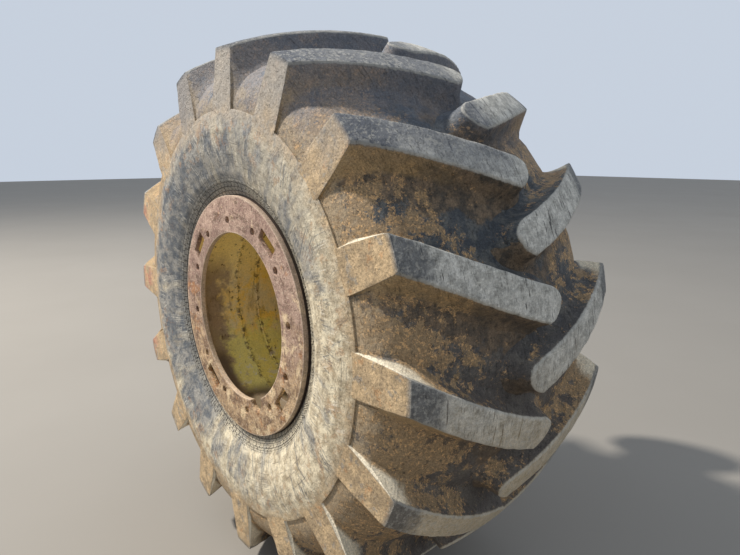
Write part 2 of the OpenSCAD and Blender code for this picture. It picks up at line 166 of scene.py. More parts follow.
class TreeBuilder:
    """A node tree under construction."""

    def __init__(self, tree: bpy.types.NodeTree) -> None:
        """Keeps the tree."""
        self.tree = tree

    def node(self, kind: Kind, *values: Value | None, **settings: object) -> bpy.types.Node:
        """Adds one node with its settings and links.

        Args:
            kind: What the node is.
            values: For each of the kind's inputs, a socket to link, a value to set, or None to leave it.
            settings: Further properties of the node.

        Returns:
            The new node.
        """
        made = self.tree.nodes.new(kind.type_name)
        for name, value in (kind.settings | settings).items():
            setattr(made, name, value)
        for key, value in zip(kind.inputs, values, strict=False):
            if isinstance(value, Socket):
                self.tree.links.new(value, made.inputs[key])
            elif value is not None:
                made.inputs[key].default_value = value
        return made

    def add(self, kind: Kind, *values: Value | None, **settings: object) -> Socket:
        """Adds one node and returns the output that its kind names."""
        return self.node(kind, *values, **settings).outputs[kind.output]


class Surface(TreeBuilder):
    """One material under construction, with the patterns that the finishes share.

    Real sizes of patterns are in millimetres, and places and distances on the part in metres.
    """

    def __init__(self, name: str, marks: Sequence[str] = ()) -> None:
        """Starts a material with the shader, the piece's own coordinates and the marks of its mesh.

        Args:
            name: Name of the material.
            marks: Names of the mesh marks that it reads.
        """
        self.material = bpy.data.materials.new(name)
        self.material.use_nodes = True
        super().__init__(self.material.node_tree)
        self.tree.nodes.clear()
        self.shader = self.node(Kind.SHADER)
        self.node(Kind.SHOWN, self.shader.outputs[0])
        self.place = self.add(Kind.PLACE)
        self.x, self.y, self.z = self.node(Kind.SPLIT, self.place).outputs
        self.marks = {mark: self.add(Kind.MARK, attribute_name=mark) for mark in marks}

    @cached_property
    def radius(self) -> Socket:
        """Distance from the axle's axis."""
        squares = self.add(Kind.ADD, self.add(Kind.POWER, self.x, 2.0), self.add(Kind.POWER, self.z, 2.0))
        return self.add(Kind.SQRT, squares)

    @cached_property
    def angle(self) -> Socket:
        """Angle round the axle, counted from forward to up."""
        return self.add(Kind.ARCTAN2, self.z, self.x)

    def stretched(self, x: float, y: float, z: float) -> Socket:
        """The piece's coordinates, divided by a real size along each axis."""
        pairs = zip((self.x, self.y, self.z), (x, y, z), strict=True)
        return self.add(Kind.JOIN, *(self.add(Kind.DIVIDE, value, size * MM) for value, size in pairs))

    def around(self, along: float, across: float, mean_r: float, lean: float = 0.0) -> Socket:
        """Coordinates that run round the axle without a seam, divided by real sizes.

        Args:
            along: Real size round the axle, at the mean radius.
            across: Real size along the radius and along the axle.
            mean_r: Mean radius of the surface.
            lean: Slope of the pattern off the radius, as arc length for each length of radius.

        Returns:
            The coordinates' socket.
        """
        turn = self.add(Kind.ADD, self.angle, self.add(Kind.MULTIPLY, self.radius, lean / mean_r))
        turns = mean_r / (along * MM)
        x, z = (self.add(Kind.MULTIPLY, self.add(wave, turn), turns) for wave in (Kind.COSINE, Kind.SINE))
        depth = self.add(Kind.DIVIDE, self.add(Kind.ADD, self.radius, self.y), across * MM)
        return self.add(Kind.JOIN, x, z, depth)

    def clouds(
        self, size: float | Socket, seed: int, detail: float = 9, rough: float = 0.7, warp: float = 0
    ) -> Socket:
        """Cloudy noise from 0 to 1.

        Args:
            size: Real size of a patch, or coordinates that are already divided by real sizes.
            seed: Which noise, as the place along the fourth axis.
            detail: Octaves of finer noise.
            rough: Share of the finer octaves, so how ragged a patch's edge is.
            warp: Distortion of the patches.

        Returns:
            The noise's socket.
        """
        at, scale = (size, 1.0) if isinstance(size, Socket) else (self.place, 1 / (size * MM))
        return self.add(Kind.CLOUDS, at, seed, scale, detail, rough, warp)

    def patches(
        self,
        size: float | Socket,
        seed: int,
        start: float,
        edge: float = 0.05,
        rough: float = 0.7,
        warp: float = 0,
    ) -> Socket:
        """Ragged patches with crisp edges: 1 where the noise passes start by edge, 0 where it is below."""
        return self.add(Kind.FADE, self.clouds(size, seed, 9, rough, warp), start, start + edge)

    def shifted(self, value: Socket, reach: float, size: float, seed: int) -> Socket:
        """Moves a value by noise, up to about a reach either way, so that a zone's edge turns ragged."""
        noise = self.add(Kind.MULTIPLY_ADD, self.clouds(size, seed), 4 * reach, -2 * reach)
        return self.add(Kind.ADD, value, noise)

    def zone(
        self, value: Socket, start: float, end: float, reach: float = 0, size: float = 0, seed: int = 0
    ) -> Socket:
        """Runs smoothly from 0 to 1 between two places.

        Args:
            value: What is measured, such as a height or a distance.
            start: Value at which the zone begins.
            end: Value at which it is full, which may be the lower one.
            reach: How far noise moves the edge either way, 0 for an even edge.
            size: Real size of the noise's patches.
            seed: Which noise.

        Returns:
            The zone's socket.
        """
        return self.add(Kind.FADE, self.shifted(value, reach, size, seed) if reach else value, start, end)

    def tones(
        self,
        first: str,
        second: str,
        size: float,
        seed: int,
        start: float = 0.38,
        end: float = 0.62,
        detail: float = 9,
        rough: float = 0.7,
    ) -> Socket:
        """Goes cloudily between two hex colours, from the first below start to the second above end."""
        share = self.add(Kind.FADE, self.clouds(size, seed, detail, rough), start, end)
        return self.add(Kind.MIX, share, srgb(first), srgb(second))

    def lay(self, base: Value, colour: str, strength: float, *shares: Socket) -> Socket:
        """Lays a colour over the base.

        Args:
            base: The colour below.
            colour: Hex colour of the layer.
            strength: How far the layer hides the base where every share is 1.
            shares: Where the layer lies, each from 0 to 1; they are multiplied.

        Returns:
            The new colour's socket.
        """
        thick = strength
        for share in shares:
            thick = self.add(Kind.MULTIPLY, share, thick)
        return self.add(Kind.MIX, thick, base, srgb(colour))

    def mottle(self, colour: Value, size: float, seed: int, amount: float) -> Socket:
        """Darkens and brightens a colour by up to an amount, in grains of a real size."""
        grains = self.zone(self.clouds(size, seed, 5, 0.8), 0.34, 0.66)
        return self.add(Kind.BRIGHTEN, self.add(Kind.MULTIPLY_ADD, grains, 2 * amount, 1 - amount), colour)

    def cuts(self, count: int, inner_r: float, row: float) -> Socket:
        """Cuts between staggered blocks in rows round the axle.

        Args:
            count: Blocks in a row.
            inner_r: Radius at which the first row starts.
            row: Height of a row along the radius.

        Returns:
            A socket with 1 in a cut and 0 on a block.
        """
        along = self.add(Kind.MULTIPLY, self.angle, count / FULL_TURN)
        across = self.add(Kind.DIVIDE, self.add(Kind.SUBTRACT, self.radius, inner_r), row)
        at = self.add(Kind.JOIN, along, across, 0.0)
        gap = 0.1
        block = 1.0
        return self.add(Kind.BLOCKS, at, 1.0, gap, 0.5, block, block)

    def finish(
        self, colour: Value, roughness: Value, normal: Socket | None = None, **flat: float
    ) -> bpy.types.Material:
        """Ends the material.

        Args:
            colour: Base colour.
            roughness: Roughness.
            normal: Normal from the last bump, if there is one.
            flat: Values of the shader's other inputs, the same all over the surface.

        Returns:
            The material.
        """
        for name, value in {"Base Color": colour, "Roughness": roughness, "Normal": normal, **flat}.items():
            if isinstance(value, Socket):
                self.tree.links.new(value, self.shader.inputs[name])
            elif value is not None:
                self.shader.inputs[name].default_value = value
        return self.material


# Finishes


@dataclass(frozen=True)
class Finish:
    """What every finish has: its material's name and the record's slot, empty on the stage."""

    name: str = ""
    slot: str = ""

    def build(self) -> bpy.types.Material:
        """Builds the material."""
        raise NotImplementedError


@dataclass(frozen=True)
class WornRubber(Finish):
    """Old tyre rubber, pressed in a mould and matt.

    It gives the eye granular grey scuffs on the lugs' tops, tan mud dried in crumbs between them, dust on
    the sidewall, and slate rubber where it is rubbed bare. Grain and scratches of 1 mm are too fine to
    show in the render, so they are drawn at 5 to 9 mm.
    """

    name: str = "worn_forestry_rubber"
    slot: str = "forestry_tyre"
    bright_wall: float = math.radians(-25.0)
    tread_r: float = 0.97
    wall_r: float = 0.55
    bead_inner_r: float = 0.434
    bead_cuts: int = 112
    bead_row: float = 14.5 * MM
    scuff_fans: tuple[tuple[int, float], ...] = ((18, 0.12), (60, -0.38))

    def off_centre(self, s: Surface) -> Socket:
        """Distance off the tyre's centre plane."""
        return s.add(Kind.ABSOLUTE, s.add(Kind.ADD, s.y, CENTRE_OUT))

    def groove(self, s: Surface) -> Socket:
        """Colour between the lugs: slate rubber with mud dried on in beds, crumbs and dark spots, and a
        painted highlight on the trailing flanks near the lugs' outer ends.

        Args:
            s: Surface being built.

        Returns:
            The colour's socket.
        """
        away = self.off_centre(s)
        slate = s.marks["slate"]
        clean = s.tones("#3f4449", "#63635f", 50, 1, 0.44, 0.60)
        muddy = s.tones("#4f473d", "#7d6a54", 40, 2, 0.42, 0.58)
        base = s.add(Kind.MIX, s.zone(slate, 0.3, 0.6, 0.8, 100, 3), muddy, clean)
        base = s.lay(base, "#6a5b4b", 0.5, s.zone(s.z, 0.35, -0.15, 0.08, 80, 61))
        near_end = s.add(Kind.MULTIPLY_ADD, s.zone(away, 0.05, 0.44), 0.15, -0.03)
        low_down = s.add(Kind.MULTIPLY_ADD, s.zone(s.z, 0.1, -0.35), 0.015, near_end)
        bedding = s.add(Kind.ADD, s.clouds(90, 4, 10, 0.72), low_down)
        base = s.lay(base, "#9c825e", 0.8, s.zone(bedding, 0.555, 0.585))
        crumbs = s.patches(9, 5, 0.53, 0.04, 0.75)
        base = s.lay(base, "#d2a773", 0.85, crumbs, s.zone(bedding, 0.50, 0.57))
        base = s.lay(base, "#2a2826", 0.65, s.patches(14, 6, 0.58, 0.04))
        base = s.lay(base, "#6c727c", 0.72, s.zone(s.z, 0.5, 0.8, 0.12, 90, 38))
        base = s.lay(base, "#a29177", 0.6, s.zone(away, 0.43, 0.46, 0.05, 50, 7))
        on_flank = s.zone(s.marks["lug_height"], 0.1, 0.3)
        bank = s.zone(away, 0.14, 0.34, 0.08, 70, 40)
        muddy_side = s.add(Kind.SUBTRACT, 1.0, slate)
        base = s.lay(base, "#a1865c", 0.6, on_flank, bank, muddy_side, s.zone(s.z, 0.9, 0.55))
        # Painted highlight: pale cream on the trailing flanks near the lugs' outer ends.
        flank_highlight_zone = s.zone(away, 0.37, 0.42, 0.03, 60, 39)
        base = s.lay(base, "#e6dac0", 0.85, flank_highlight_zone, slate, on_flank)
        return s.mottle(base, 5, 33, 0.34)

    def top(self, s: Surface) -> Socket:
        """Colour of the lugs' worn tops: granular grey, cut and scratched, dark slate near the shoulder.

        Args:
            s: Surface being built.

        Returns:
            The colour's socket.
        """
        base = s.tones("#97948b", "#d6d2c7", 30, 8, rough=0.75)
        base = s.lay(base, "#dedacd", 0.55, s.patches(s.stretched(5, 60, 5), 9, 0.54, 0.07, warp=0.4))
        base = s.lay(base, "#504e49", 0.55, s.patches(s.around(50, 5, self.tread_r), 10, 0.56, warp=0.4))
        cracks = s.patches(s.around(80, 9, self.tread_r), 41, 0.62, 0.02, 0.5, 0.6)
        base = s.lay(base, "#2e2c29", 0.8, cracks)
        base = s.lay(base, "#c0a982", 0.68, s.zone(s.z, 0.15, -0.45, 0.1, 80, 47))
        base = s.lay(base, "#43464b", 0.78, s.zone(self.off_centre(s), 0.33, 0.40, 0.05, 60, 11))
        high = s.zone(s.z, 0.44, 0.66, 0.06, 80, 46)
        base = s.lay(base, "#50555e", 0.8, high, s.zone(s.y, -1.0, -1.1))
        return s.mottle(base, 5, 29, 0.22)

    def end(self, s: Surface) -> Socket:
        """Colour of the lugs' outer faces: tan mud, orange and grey patches, specks and rubbed-off paint,
        with painted shade on the faces high up at the rear.

        Args:
            s: Surface being built.

        Returns:
            The colour's socket.
        """
        base = s.tones("#a38d6e", "#c9ad85", 50, 12, 0.4, 0.6)
        base = s.lay(base, "#8e8a82", 0.6, s.patches(50, 30, 0.56))
        base = s.lay(base, "#ba8654", 0.5, s.patches(35, 31, 0.57))
        base = s.lay(base, "#6a5946", 0.55, s.patches(8, 14, 0.54, rough=0.8))
        base = s.lay(base, "#97938d", 0.8, s.zone(s.z, 0.45, 0.8, 0.12, 80, 42))
        # Painted shade: darker grey on the outer faces high up at the rear.
        base = s.lay(base, "#6d6c6f", 0.55, s.zone(s.x, -0.15, -0.35), s.zone(s.z, 0.5, 0.75))
        base = s.lay(base, "#b3695c", 0.6, s.zone(s.x, -0.72, -0.86), s.patches(70, 43, 0.47))
        return s.mottle(base, 6, 32, 0.28)

    def wall(self, s: Surface, end: Socket) -> Socket:
        """Colour of the sidewall.

        Args:
            s: The surface.
            end: Colour of the lugs' outer faces, which the wall meets at their feet.

        Returns:
            Tan dust over slate rubber, fans of scuffs, and a net of cracks at the bead.
        """
        facing = s.add(Kind.COSINE, s.add(Kind.SUBTRACT, s.angle, self.bright_wall))
        outer = s.add(Kind.MULTIPLY_ADD, s.zone(s.radius, 0.58, 0.72), 0.35, 0.5)
        dusty_side = s.add(Kind.MULTIPLY_ADD, facing, 0.5, outer)
        smears = s.clouds(s.around(70, 150, self.wall_r, 0.1), 15, rough=0.62)
        shift = s.add(Kind.MULTIPLY_ADD, smears, 3.4, -1.7)
        dusty = s.zone(s.add(Kind.ADD, dusty_side, shift), 0.2, 1.0)
        slate = s.tones("#62666a", "#97938b", 50, 17, 0.42, 0.58)
        dust = s.tones("#ab9b7f", "#ddcfb1", 40, 16, 0.40, 0.58)
        dust = s.lay(dust, "#a29c8f", 0.55, s.zone(s.z, 0.1, 0.6, 0.15, 100, 51))
        base = s.add(Kind.MIX, dusty, slate, dust)
        base = s.lay(base, "#a97f57", 0.5, s.patches(50, 44, 0.54), s.zone(s.radius, 0.52, 0.64))
        for seed, lean in self.scuff_fans:
            fan = s.around(5, 120, self.wall_r, lean)
            dark = s.patches(fan, seed + 2, 0.52, 0.06, 0.5)
            base = s.lay(base, "#4d545b", 0.6, dark, s.patches(90, seed + 1, 0.5, 0.08))
            pale = s.patches(fan, seed + 3, 0.56, 0.05, 0.5)
            base = s.lay(base, "#e0d8c6", 0.5, pale, s.patches(90, seed + 4, 0.5, 0.08))
        base = s.lay(base, "#57534c", 0.55, s.patches(s.around(120, 5, self.wall_r), 19, 0.57))
        at_bead = s.zone(s.radius, 0.505, 0.482, 0.02, 50, 36)
        base = s.lay(base, "#a8a294", 0.4, at_bead)
        base = s.lay(base, "#34302b", 0.85, s.cuts(self.bead_cuts, self.bead_inner_r, self.bead_row), at_bead)
        base = s.mottle(base, 5, 37, 0.2)
        return s.add(Kind.MIX, s.zone(s.radius, 0.65, 0.74, 0.05, 70, 26), base, end)

    def relief(self, s: Surface) -> Socket:
        """Normal of the skin: lumps, cuts and grain.

        Args:
            s: Surface being built.

        Returns:
            The normal's socket.
        """
        grain = s.add(Kind.BUMP, s.clouds(5, 20, 6, 0.75), 1.8 * MM)
        cut = s.patches(s.around(20, 6, self.tread_r), 21, 0.57, 0.06, warp=1)
        cuts = s.add(Kind.BUMP, s.add(Kind.SUBTRACT, 1.0, cut), 1.8 * MM, grain)
        return s.add(Kind.BUMP, s.clouds(30, 22, 9, 0.68), 9 * MM, cuts)

    def build(self) -> bpy.types.Material:
        """Builds the material from the zones that the meshes name.

        Returns:
            The finished material.
        """
        s = Surface(self.name, ("lug_height", "end_face", "side_wall", "slate"))
        worn = s.shifted(s.marks["lug_height"], 0.04, 12, 23)
        colour = s.add(Kind.MIX, s.zone(worn, 0.87, 0.95), self.groove(s), self.top(s))
        # Painted highlight: a pale band along the lugs' top edges.
        colour = s.lay(colour, "#b3afa4", 0.5, s.zone(worn, 0.90, 0.94), s.zone(worn, 1.0, 0.985))
        end = self.end(s)
        colour = s.add(Kind.MIX, s.marks["end_face"], colour, end)
        colour = s.add(Kind.MIX, s.marks["side_wall"], colour, self.wall(s, end))
        roughness = s.add(Kind.MULTIPLY_ADD, s.clouds(50, 24, 6, 0.6), 0.25, 0.62)
        return s.finish(colour, roughness, self.relief(s))


@dataclass(frozen=True)
class RustedPlate(Finish):
    """Hot-rolled plate, torch-cut and left bare, under an even, granular film of dusty brown rust.

    Rust grains of under 1 mm are too fine to show in the render, so they are drawn at 4 to 14 mm.
    """

    name: str = "dusty_rusted_plate"
    slot: str = "rusted_ring_steel"
    bore_r: float = 0.3024
    outer_r: float = 0.432

    def build(self) -> bpy.types.Material:
        """Builds mauve-brown rust, tan lower down, with orange bloom, specks and painted highlights along the
        edges.

        Returns:
            The finished material.
        """
        s = Surface(self.name)
        mauve = s.tones("#8d7164", "#b29684", 60, 1)
        tan = s.tones("#7b6149", "#c4a680", 50, 7)
        colour = s.add(Kind.MIX, s.zone(s.z, 0.12, -0.2, 0.2, 80, 8), mauve, tan)
        colour = s.lay(colour, "#5f4a3c", 0.6, s.zone(s.x, -0.2, -0.34), s.patches(50, 19, 0.5, 0.06))
        low = s.add(Kind.MULTIPLY, s.zone(s.z, -0.2, -0.4), 0.05)
        rear_or_low = s.add(Kind.MULTIPLY_ADD, s.zone(s.x, -0.3, -0.42), 0.07, low)
        orange = s.add(Kind.ADD, s.clouds(80, 2), rear_or_low)
        colour = s.lay(colour, "#ad7746", 0.65, s.zone(orange, 0.58, 0.64))
        low_front = s.add(Kind.MULTIPLY, s.add(Kind.SUBTRACT, s.x, s.z), 0.12)
        sandy = s.add(Kind.ADD, s.clouds(70, 11), low_front)
        colour = s.lay(colour, "#e6cda4", 0.7, s.zone(sandy, 0.56, 0.64))
        smeared = s.patches(s.around(90, 22, self.outer_r), 12, 0.55, 0.07, 0.68, 0.6)
        colour = s.lay(colour, "#654d3d", 0.7, smeared)
        colour = s.lay(colour, "#5d4737", 0.72, s.patches(14, 6, 0.52, rough=0.8))
        colour = s.lay(colour, "#dcc8b0", 0.7, s.patches(10, 9, 0.54, rough=0.8))
        # Painted highlight: paler rims along the bore and the outer edge.
        bore_highlight = s.zone(s.radius, self.bore_r + 5 * MM, self.bore_r + 1 * MM)
        rim_highlight = s.zone(s.radius, self.outer_r - 6 * MM, self.outer_r - 1 * MM)
        colour = s.lay(colour, "#cdb9a2", 0.5, s.add(Kind.MAXIMUM, bore_highlight, rim_highlight))
        colour = s.mottle(colour, 5, 13, 0.34)
        grain = s.add(Kind.BUMP, s.clouds(4, 4, 6, 0.75), 1.2 * MM)
        normal = s.add(Kind.BUMP, s.clouds(20, 5, 8, 0.65), 2 * MM, grain)
        roughness = s.add(Kind.MULTIPLY_ADD, s.clouds(10, 10, 6, 0.6), 0.2, 0.7)
        return s.finish(colour, roughness, normal, Metallic=0.12)


@dataclass(frozen=True)
class WornEnamel(Finish):
    """Brushed yellow machine enamel over steel: chalky, stained brown, and broken by rust along the seams."""

    name: str = "worn_yellow_enamel"
    slot: str = "yellow_rim_paint"
    paint: str = "#edc563"
    faded: str = "#d0b985"
    rust: str = "#6a4a2c"

    def build(self) -> bpy.types.Material:
        """Builds the enamel with its chips and stains.

        Returns:
            The finished material.
        """
        s = Surface(self.name)
        base = s.tones(self.paint, self.faded, 90, 1, rough=0.68)
        base = s.lay(base, "#93703a", 0.55, s.patches(s.stretched(50, 30, 160), 2, 0.52, 0.1, warp=0.5))
        base = s.lay(base, "#f7cf58", 0.75, s.patches(100, 5, 0.52, 0.08))
        chips = s.patches(18, 3, 0.6, 0.03, 0.75)
        colour = s.add(Kind.MIX, chips, self.stained(s, base), srgb(self.rust))
        colour = s.mottle(colour, 6, 6, 0.16)
        orange_peel = s.add(Kind.BUMP, s.clouds(6, 4, 3, 0.6), 0.6 * MM)
        normal = s.add(Kind.BUMP, s.add(Kind.SUBTRACT, 1.0, chips), 0.8 * MM, orange_peel)
        return s.finish(colour, s.add(Kind.MULTIPLY_ADD, chips, 0.25, 0.5), normal)

    def stained(self, s: Surface, base: Socket) -> Socket:
        """Leaves the paint as it is; a finish for one piece adds its own stains here."""
        return base


@dataclass(frozen=True)
class BarrelEnamel(WornEnamel):
    """The same enamel inside the rim: brown at the mouth, rust in rows along the welds, bare in the tyre."""

    name: str = "stained_barrel_enamel"
    paint: str = "#f2d285"
    faded: str = "#e0cfa6"
    bare_from: float = 0.398
    mouth_out: float = 1.335
    mouth_edge: float = 0.05
    seams: tuple[float, ...] = (CENTRE_OUT, 1.210, 1.300)

    def stained(self, s: Surface, base: Socket) -> Socket:
        """Adds bright paint above, the mouth's brown film, rust along the welds, silt, mud, painted shade low
        down by the lip, and bare seats.

        Args:
            s: Surface being built.
            base: Colour of the chipped enamel.

        Returns:
            The stained colour's socket.
        """
        colour = s.lay(base, "#ffe79c", 0.85, s.zone(s.z, 0.0, 0.2))
        colour = s.lay(colour, "#e2da80", 0.78, s.zone(s.z, -0.12, -0.2, 0.1, 60, 9))
        out = s.add(Kind.SUBTRACT, s.add(Kind.MULTIPLY, s.z, 0.1), s.y)
        mouth = s.zone(out, self.mouth_out, self.mouth_out + self.mouth_edge, 0.075, 70, 7)
        film = (mouth, s.zone(s.x, 0.1, -0.2), s.zone(s.z, 0.2, 0.06))
        colour = s.lay(colour, "#9b8575", 0.88, *film)
        colour = s.lay(colour, "#6d5748", 0.5, *film, s.patches(50, 10, 0.52, 0.08))
        blobs = s.patches(25, 8, 0.5, 0.06, 0.75)
        for seam in self.seams:
            row = s.zone(s.add(Kind.ABSOLUTE, s.add(Kind.ADD, s.y, seam)), 20 * MM, 4 * MM)
            colour = s.lay(colour, "#553c25", 0.85, row, blobs)
        silt = s.patches(45, 15, 0.54, rough=0.75)
        colour = s.lay(colour, "#d6d0c4", 0.65, s.zone(s.z, -0.2, -0.3), silt)
        at_bottom = s.add(Kind.MULTIPLY, s.zone(s.x, -0.24, -0.18, 0.04, 40, 14), s.zone(s.z, -0.34, -0.37))
        mud = s.add(Kind.MULTIPLY, s.zone(s.y, -1.20, -1.26), at_bottom)
        # Painted shade: grey-brown low down near the lip, where the lower windows and the notch look in; the
        # same colour lies as mud at the bottom.
        lip_shade = s.add(Kind.MULTIPLY, s.zone(s.y, -1.38, -1.42), s.zone(s.z, -0.2, -0.26))
        colour = s.lay(colour, "#665648", 0.95, s.add(Kind.MAXIMUM, mud, lip_shade))
        return s.lay(colour, "#3b2f28", 1.0, s.zone(s.radius, self.bare_from, self.bare_from + 4 * MM))


@dataclass(frozen=True)
class CastIron(Finish):
    """Sand-cast housing iron: grainy skin, black-brown paint mostly gone to rust and oily dust."""

    name: str = "oily_cast_iron"
    slot: str = "axle_iron"

    def build(self) -> bpy.types.Material:
        """Builds the sand-cast grain, drawn at 3 mm so that it shows, and its dirt.

        Returns:
            The finished material.
        """
        s = Surface(self.name)
        base = s.tones("#3d342d", "#5b4a3b", 90, 1, 0.35, 0.65, 6, 0.6)
        rust = s.zone(s.clouds(50, 2, 8, 0.6), 0.55, 0.66)
        colour = s.lay(base, "#80573a", 0.75, rust)
        colour = s.lay(colour, "#8f806a", 0.35, s.zone(s.z, -0.2, 0.25))
        grain = s.add(Kind.BUMP, s.clouds(3, 3, 4, 0.6), 0.7 * MM)
        normal = s.add(Kind.BUMP, s.clouds(25, 4, 4, 0.6), 1.4 * MM, grain)
        return s.finish(colour, s.add(Kind.MULTIPLY_ADD, rust, 0.25, 0.55), normal, Metallic=0.1)


@dataclass(frozen=True)
class PlatedSteel(Finish):
    """Forged and zinc-plated fasteners, gone dull, with rust in the corners."""

    rust_share: float = 0.6

    def build(self) -> bpy.types.Material:
        """Builds dull plating with rust blooms.

        Returns:
            The finished material.
        """
        s = Surface(self.name)
        rust = s.zone(s.clouds(12, 1, 6, 0.6), 0.42, 0.62)
        colour = s.lay(srgb("#8b8474"), "#7a5236", self.rust_share, rust)
        normal = s.add(Kind.BUMP, s.clouds(2, 2, 4, 0.6), 0.3 * MM)
        return s.finish(colour, s.add(Kind.MULTIPLY_ADD, rust, 0.35, 0.4), normal, Metallic=0.7)


@dataclass(frozen=True)
class PlainStuff(Finish):
    """A small part of one stuff, dusty: turned brass, moulded plastic or moulded rubber."""

    colour: str = "#232220"
    dust: str = "#8d8370"
    metallic: float = 0.0
    roughness: float = 0.55

    def build(self) -> bpy.types.Material:
        """Builds the stuff under patchy dust.

        Returns:
            The finished material.
        """
        s = Surface(self.name)
        dust = s.zone(s.clouds(10, 1, 6, 0.6), 0.45, 0.75)
        colour = s.lay(srgb(self.colour), self.dust, 0.5, dust)
        normal = s.add(Kind.BUMP, s.clouds(1, 2, 3, 0.6), 0.1 * MM)
        roughness = s.add(Kind.MULTIPLY_ADD, dust, 0.3, self.roughness)
        return s.finish(colour, roughness, normal, Metallic=self.metallic)


@dataclass(frozen=True)
class StudioFloor(Finish):
    """Pale painted studio floor, matt."""

    name: str = "pale_studio_floor"

    def build(self) -> bpy.types.Material:
        """Builds an even pale grey with faint mottling over 1.5 m.

        Returns:
            The finished material.
        """
        s = Surface(self.name)
        colour = s.add(Kind.MIX, s.clouds(1500, 1, 3, 0.6), srgb("#868179"), srgb("#8f8a82"))
        return s.finish(colour, 0.9)


# Meshes


def welded(mesh: bpy.types.Mesh) -> bpy.types.Mesh:
    """Joins the points of a mesh that lie on each other and turns its normals outward.

    Args:
        mesh: Mesh to clean, changed in place.

    Returns:
        The same mesh.
    """
    work = bmesh.new()
    work.from_mesh(mesh)
    bmesh.ops.remove_doubles(work, verts=work.verts, dist=MERGE)
    bmesh.ops.dissolve_degenerate(work, edges=work.edges, dist=MERGE / 10)
    bmesh.ops.recalc_face_normals(work, faces=work.faces)
    work.to_mesh(mesh)
    work.free()
    return mesh


def placed(name: str, data: bpy.types.ID) -> bpy.types.Object:
    """Puts data into the scene as an object at the origin.

    Args:
        name: Name of the object.
        data: Mesh, light or camera that it shows.

    Returns:
        The new object.
    """
    made = bpy.data.objects.new(name, data)
    bpy.context.scene.collection.objects.link(made)
    return made


def finished_mesh(work: bpy.types.Object) -> bpy.types.Mesh:
    """Takes the mesh that an object comes to and removes the object.

    Args:
        work: Object with its modifiers still on it.

    Returns:
        A plain mesh with the modifiers applied.
    """
    graph = bpy.context.evaluated_depsgraph_get()
    made = bpy.data.meshes.new_from_object(work.evaluated_get(graph))
    bpy.data.objects.remove(work)
    return made


@dataclass
class Shell:
    """Points and faces of one closed shell, with numbers kept at its points."""

    points: np.ndarray
    faces: list[tuple[int, ...]]
    marks: dict[str, np.ndarray]

    def joined(self, other: "Shell") -> "Shell":
        """Puts another shell beside this one.

        Args:
            other: Shell whose points and faces are added.

        Returns:
            A shell with the parts of both.
        """
        shift = len(self.points)
        faces = self.faces + [tuple(i + shift for i in face) for face in other.faces]
        marks = {name: np.concatenate([values, other.marks[name]]) for name, values in self.marks.items()}
        return Shell(np.concatenate([self.points, other.points]), faces, marks)

    def mesh(self, name: str) -> bpy.types.Mesh:
        """Makes a mesh with its normals outward.

        Args:
            name: Name of the mesh.

        Returns:
            The new mesh.
        """
        data = bpy.data.meshes.new(name)
        data.from_pydata(self.points.tolist(), [], self.faces)
        for mark, values in self.marks.items():
            data.attributes.new(mark, "FLOAT", "POINT").data.foreach_set("value", values.astype(np.float32))
        return welded(data)


def on_wheel(radius: np.ndarray, angle: np.ndarray, out: np.ndarray) -> np.ndarray:
    """Turns radius, angle in radians and distance out into places in the frame."""
    return np.stack([radius * np.cos(angle), -out, radius * np.sin(angle)], axis=-1)


def grid_faces(
    rows: int, columns: int, wrap_rows: bool = False, wrap_columns: bool = False
) -> list[tuple[int, ...]]:
    """Faces of a grid of points, row after row.

    Args:
        rows: Rows of points.
        columns: Points in a row.
        wrap_rows: Whether the last row joins the first.
        wrap_columns: Whether each row closes on itself.

    Returns:
        Four point numbers for each face.
    """
    faces = []
    for i in range(rows if wrap_rows else rows - 1):
        for j in range(columns if wrap_columns else columns - 1):
            here = i * columns
            below = (i + 1) % rows * columns
            right = (j + 1) % columns
            faces.append((here + j, here + right, below + right, below + j))
    return faces


def revolve(outline: Sequence[Point], columns: int, marks: dict[str, Sequence[float]] | None = None) -> Shell:
    """Turns a closed outline of (out, radius) points round the axle's axis.

    Args:
        outline: The outline's points, in order.
        columns: Steps round the axle.
        marks: Numbers kept at each point of the outline.

    Returns:
        A closed shell.
    """
    profile = np.array(outline)
    angle = np.linspace(0, FULL_TURN, columns, endpoint=False)
    radius = np.repeat(profile[:, 1], columns)
    out = np.repeat(profile[:, 0], columns)
    points = on_wheel(radius, np.tile(angle, len(profile)), out)
    kept = {name: np.repeat(np.array(values), columns) for name, values in (marks or {}).items()}
    return Shell(points, grid_faces(len(profile), columns, True, True), kept)


def arc(centre: Point, radius: float, start: float, end: float, steps: int) -> list[Point]:
    """Points on an arc, angles in degrees."""
    turns = (math.radians(start + (end - start) * i / steps) for i in range(steps + 1))
    return [(centre[0] + radius * math.cos(t), centre[1] + radius * math.sin(t)) for t in turns]


def mirrored(points: Sequence[Point]) -> list[Point]:
    """The same (w, radius) points on the other side of the centre plane, in reverse order."""
    return [(-w, radius) for w, radius in points[::-1]]


def turned(points: Sequence[Point], angle: float) -> list[Point]:
    """Turns flat points about the origin by an angle in degrees."""
    turn = Matrix.Rotation(math.radians(angle), 2)
    return [tuple(turn @ Vector(point)) for point in points]


# Geometry Nodes


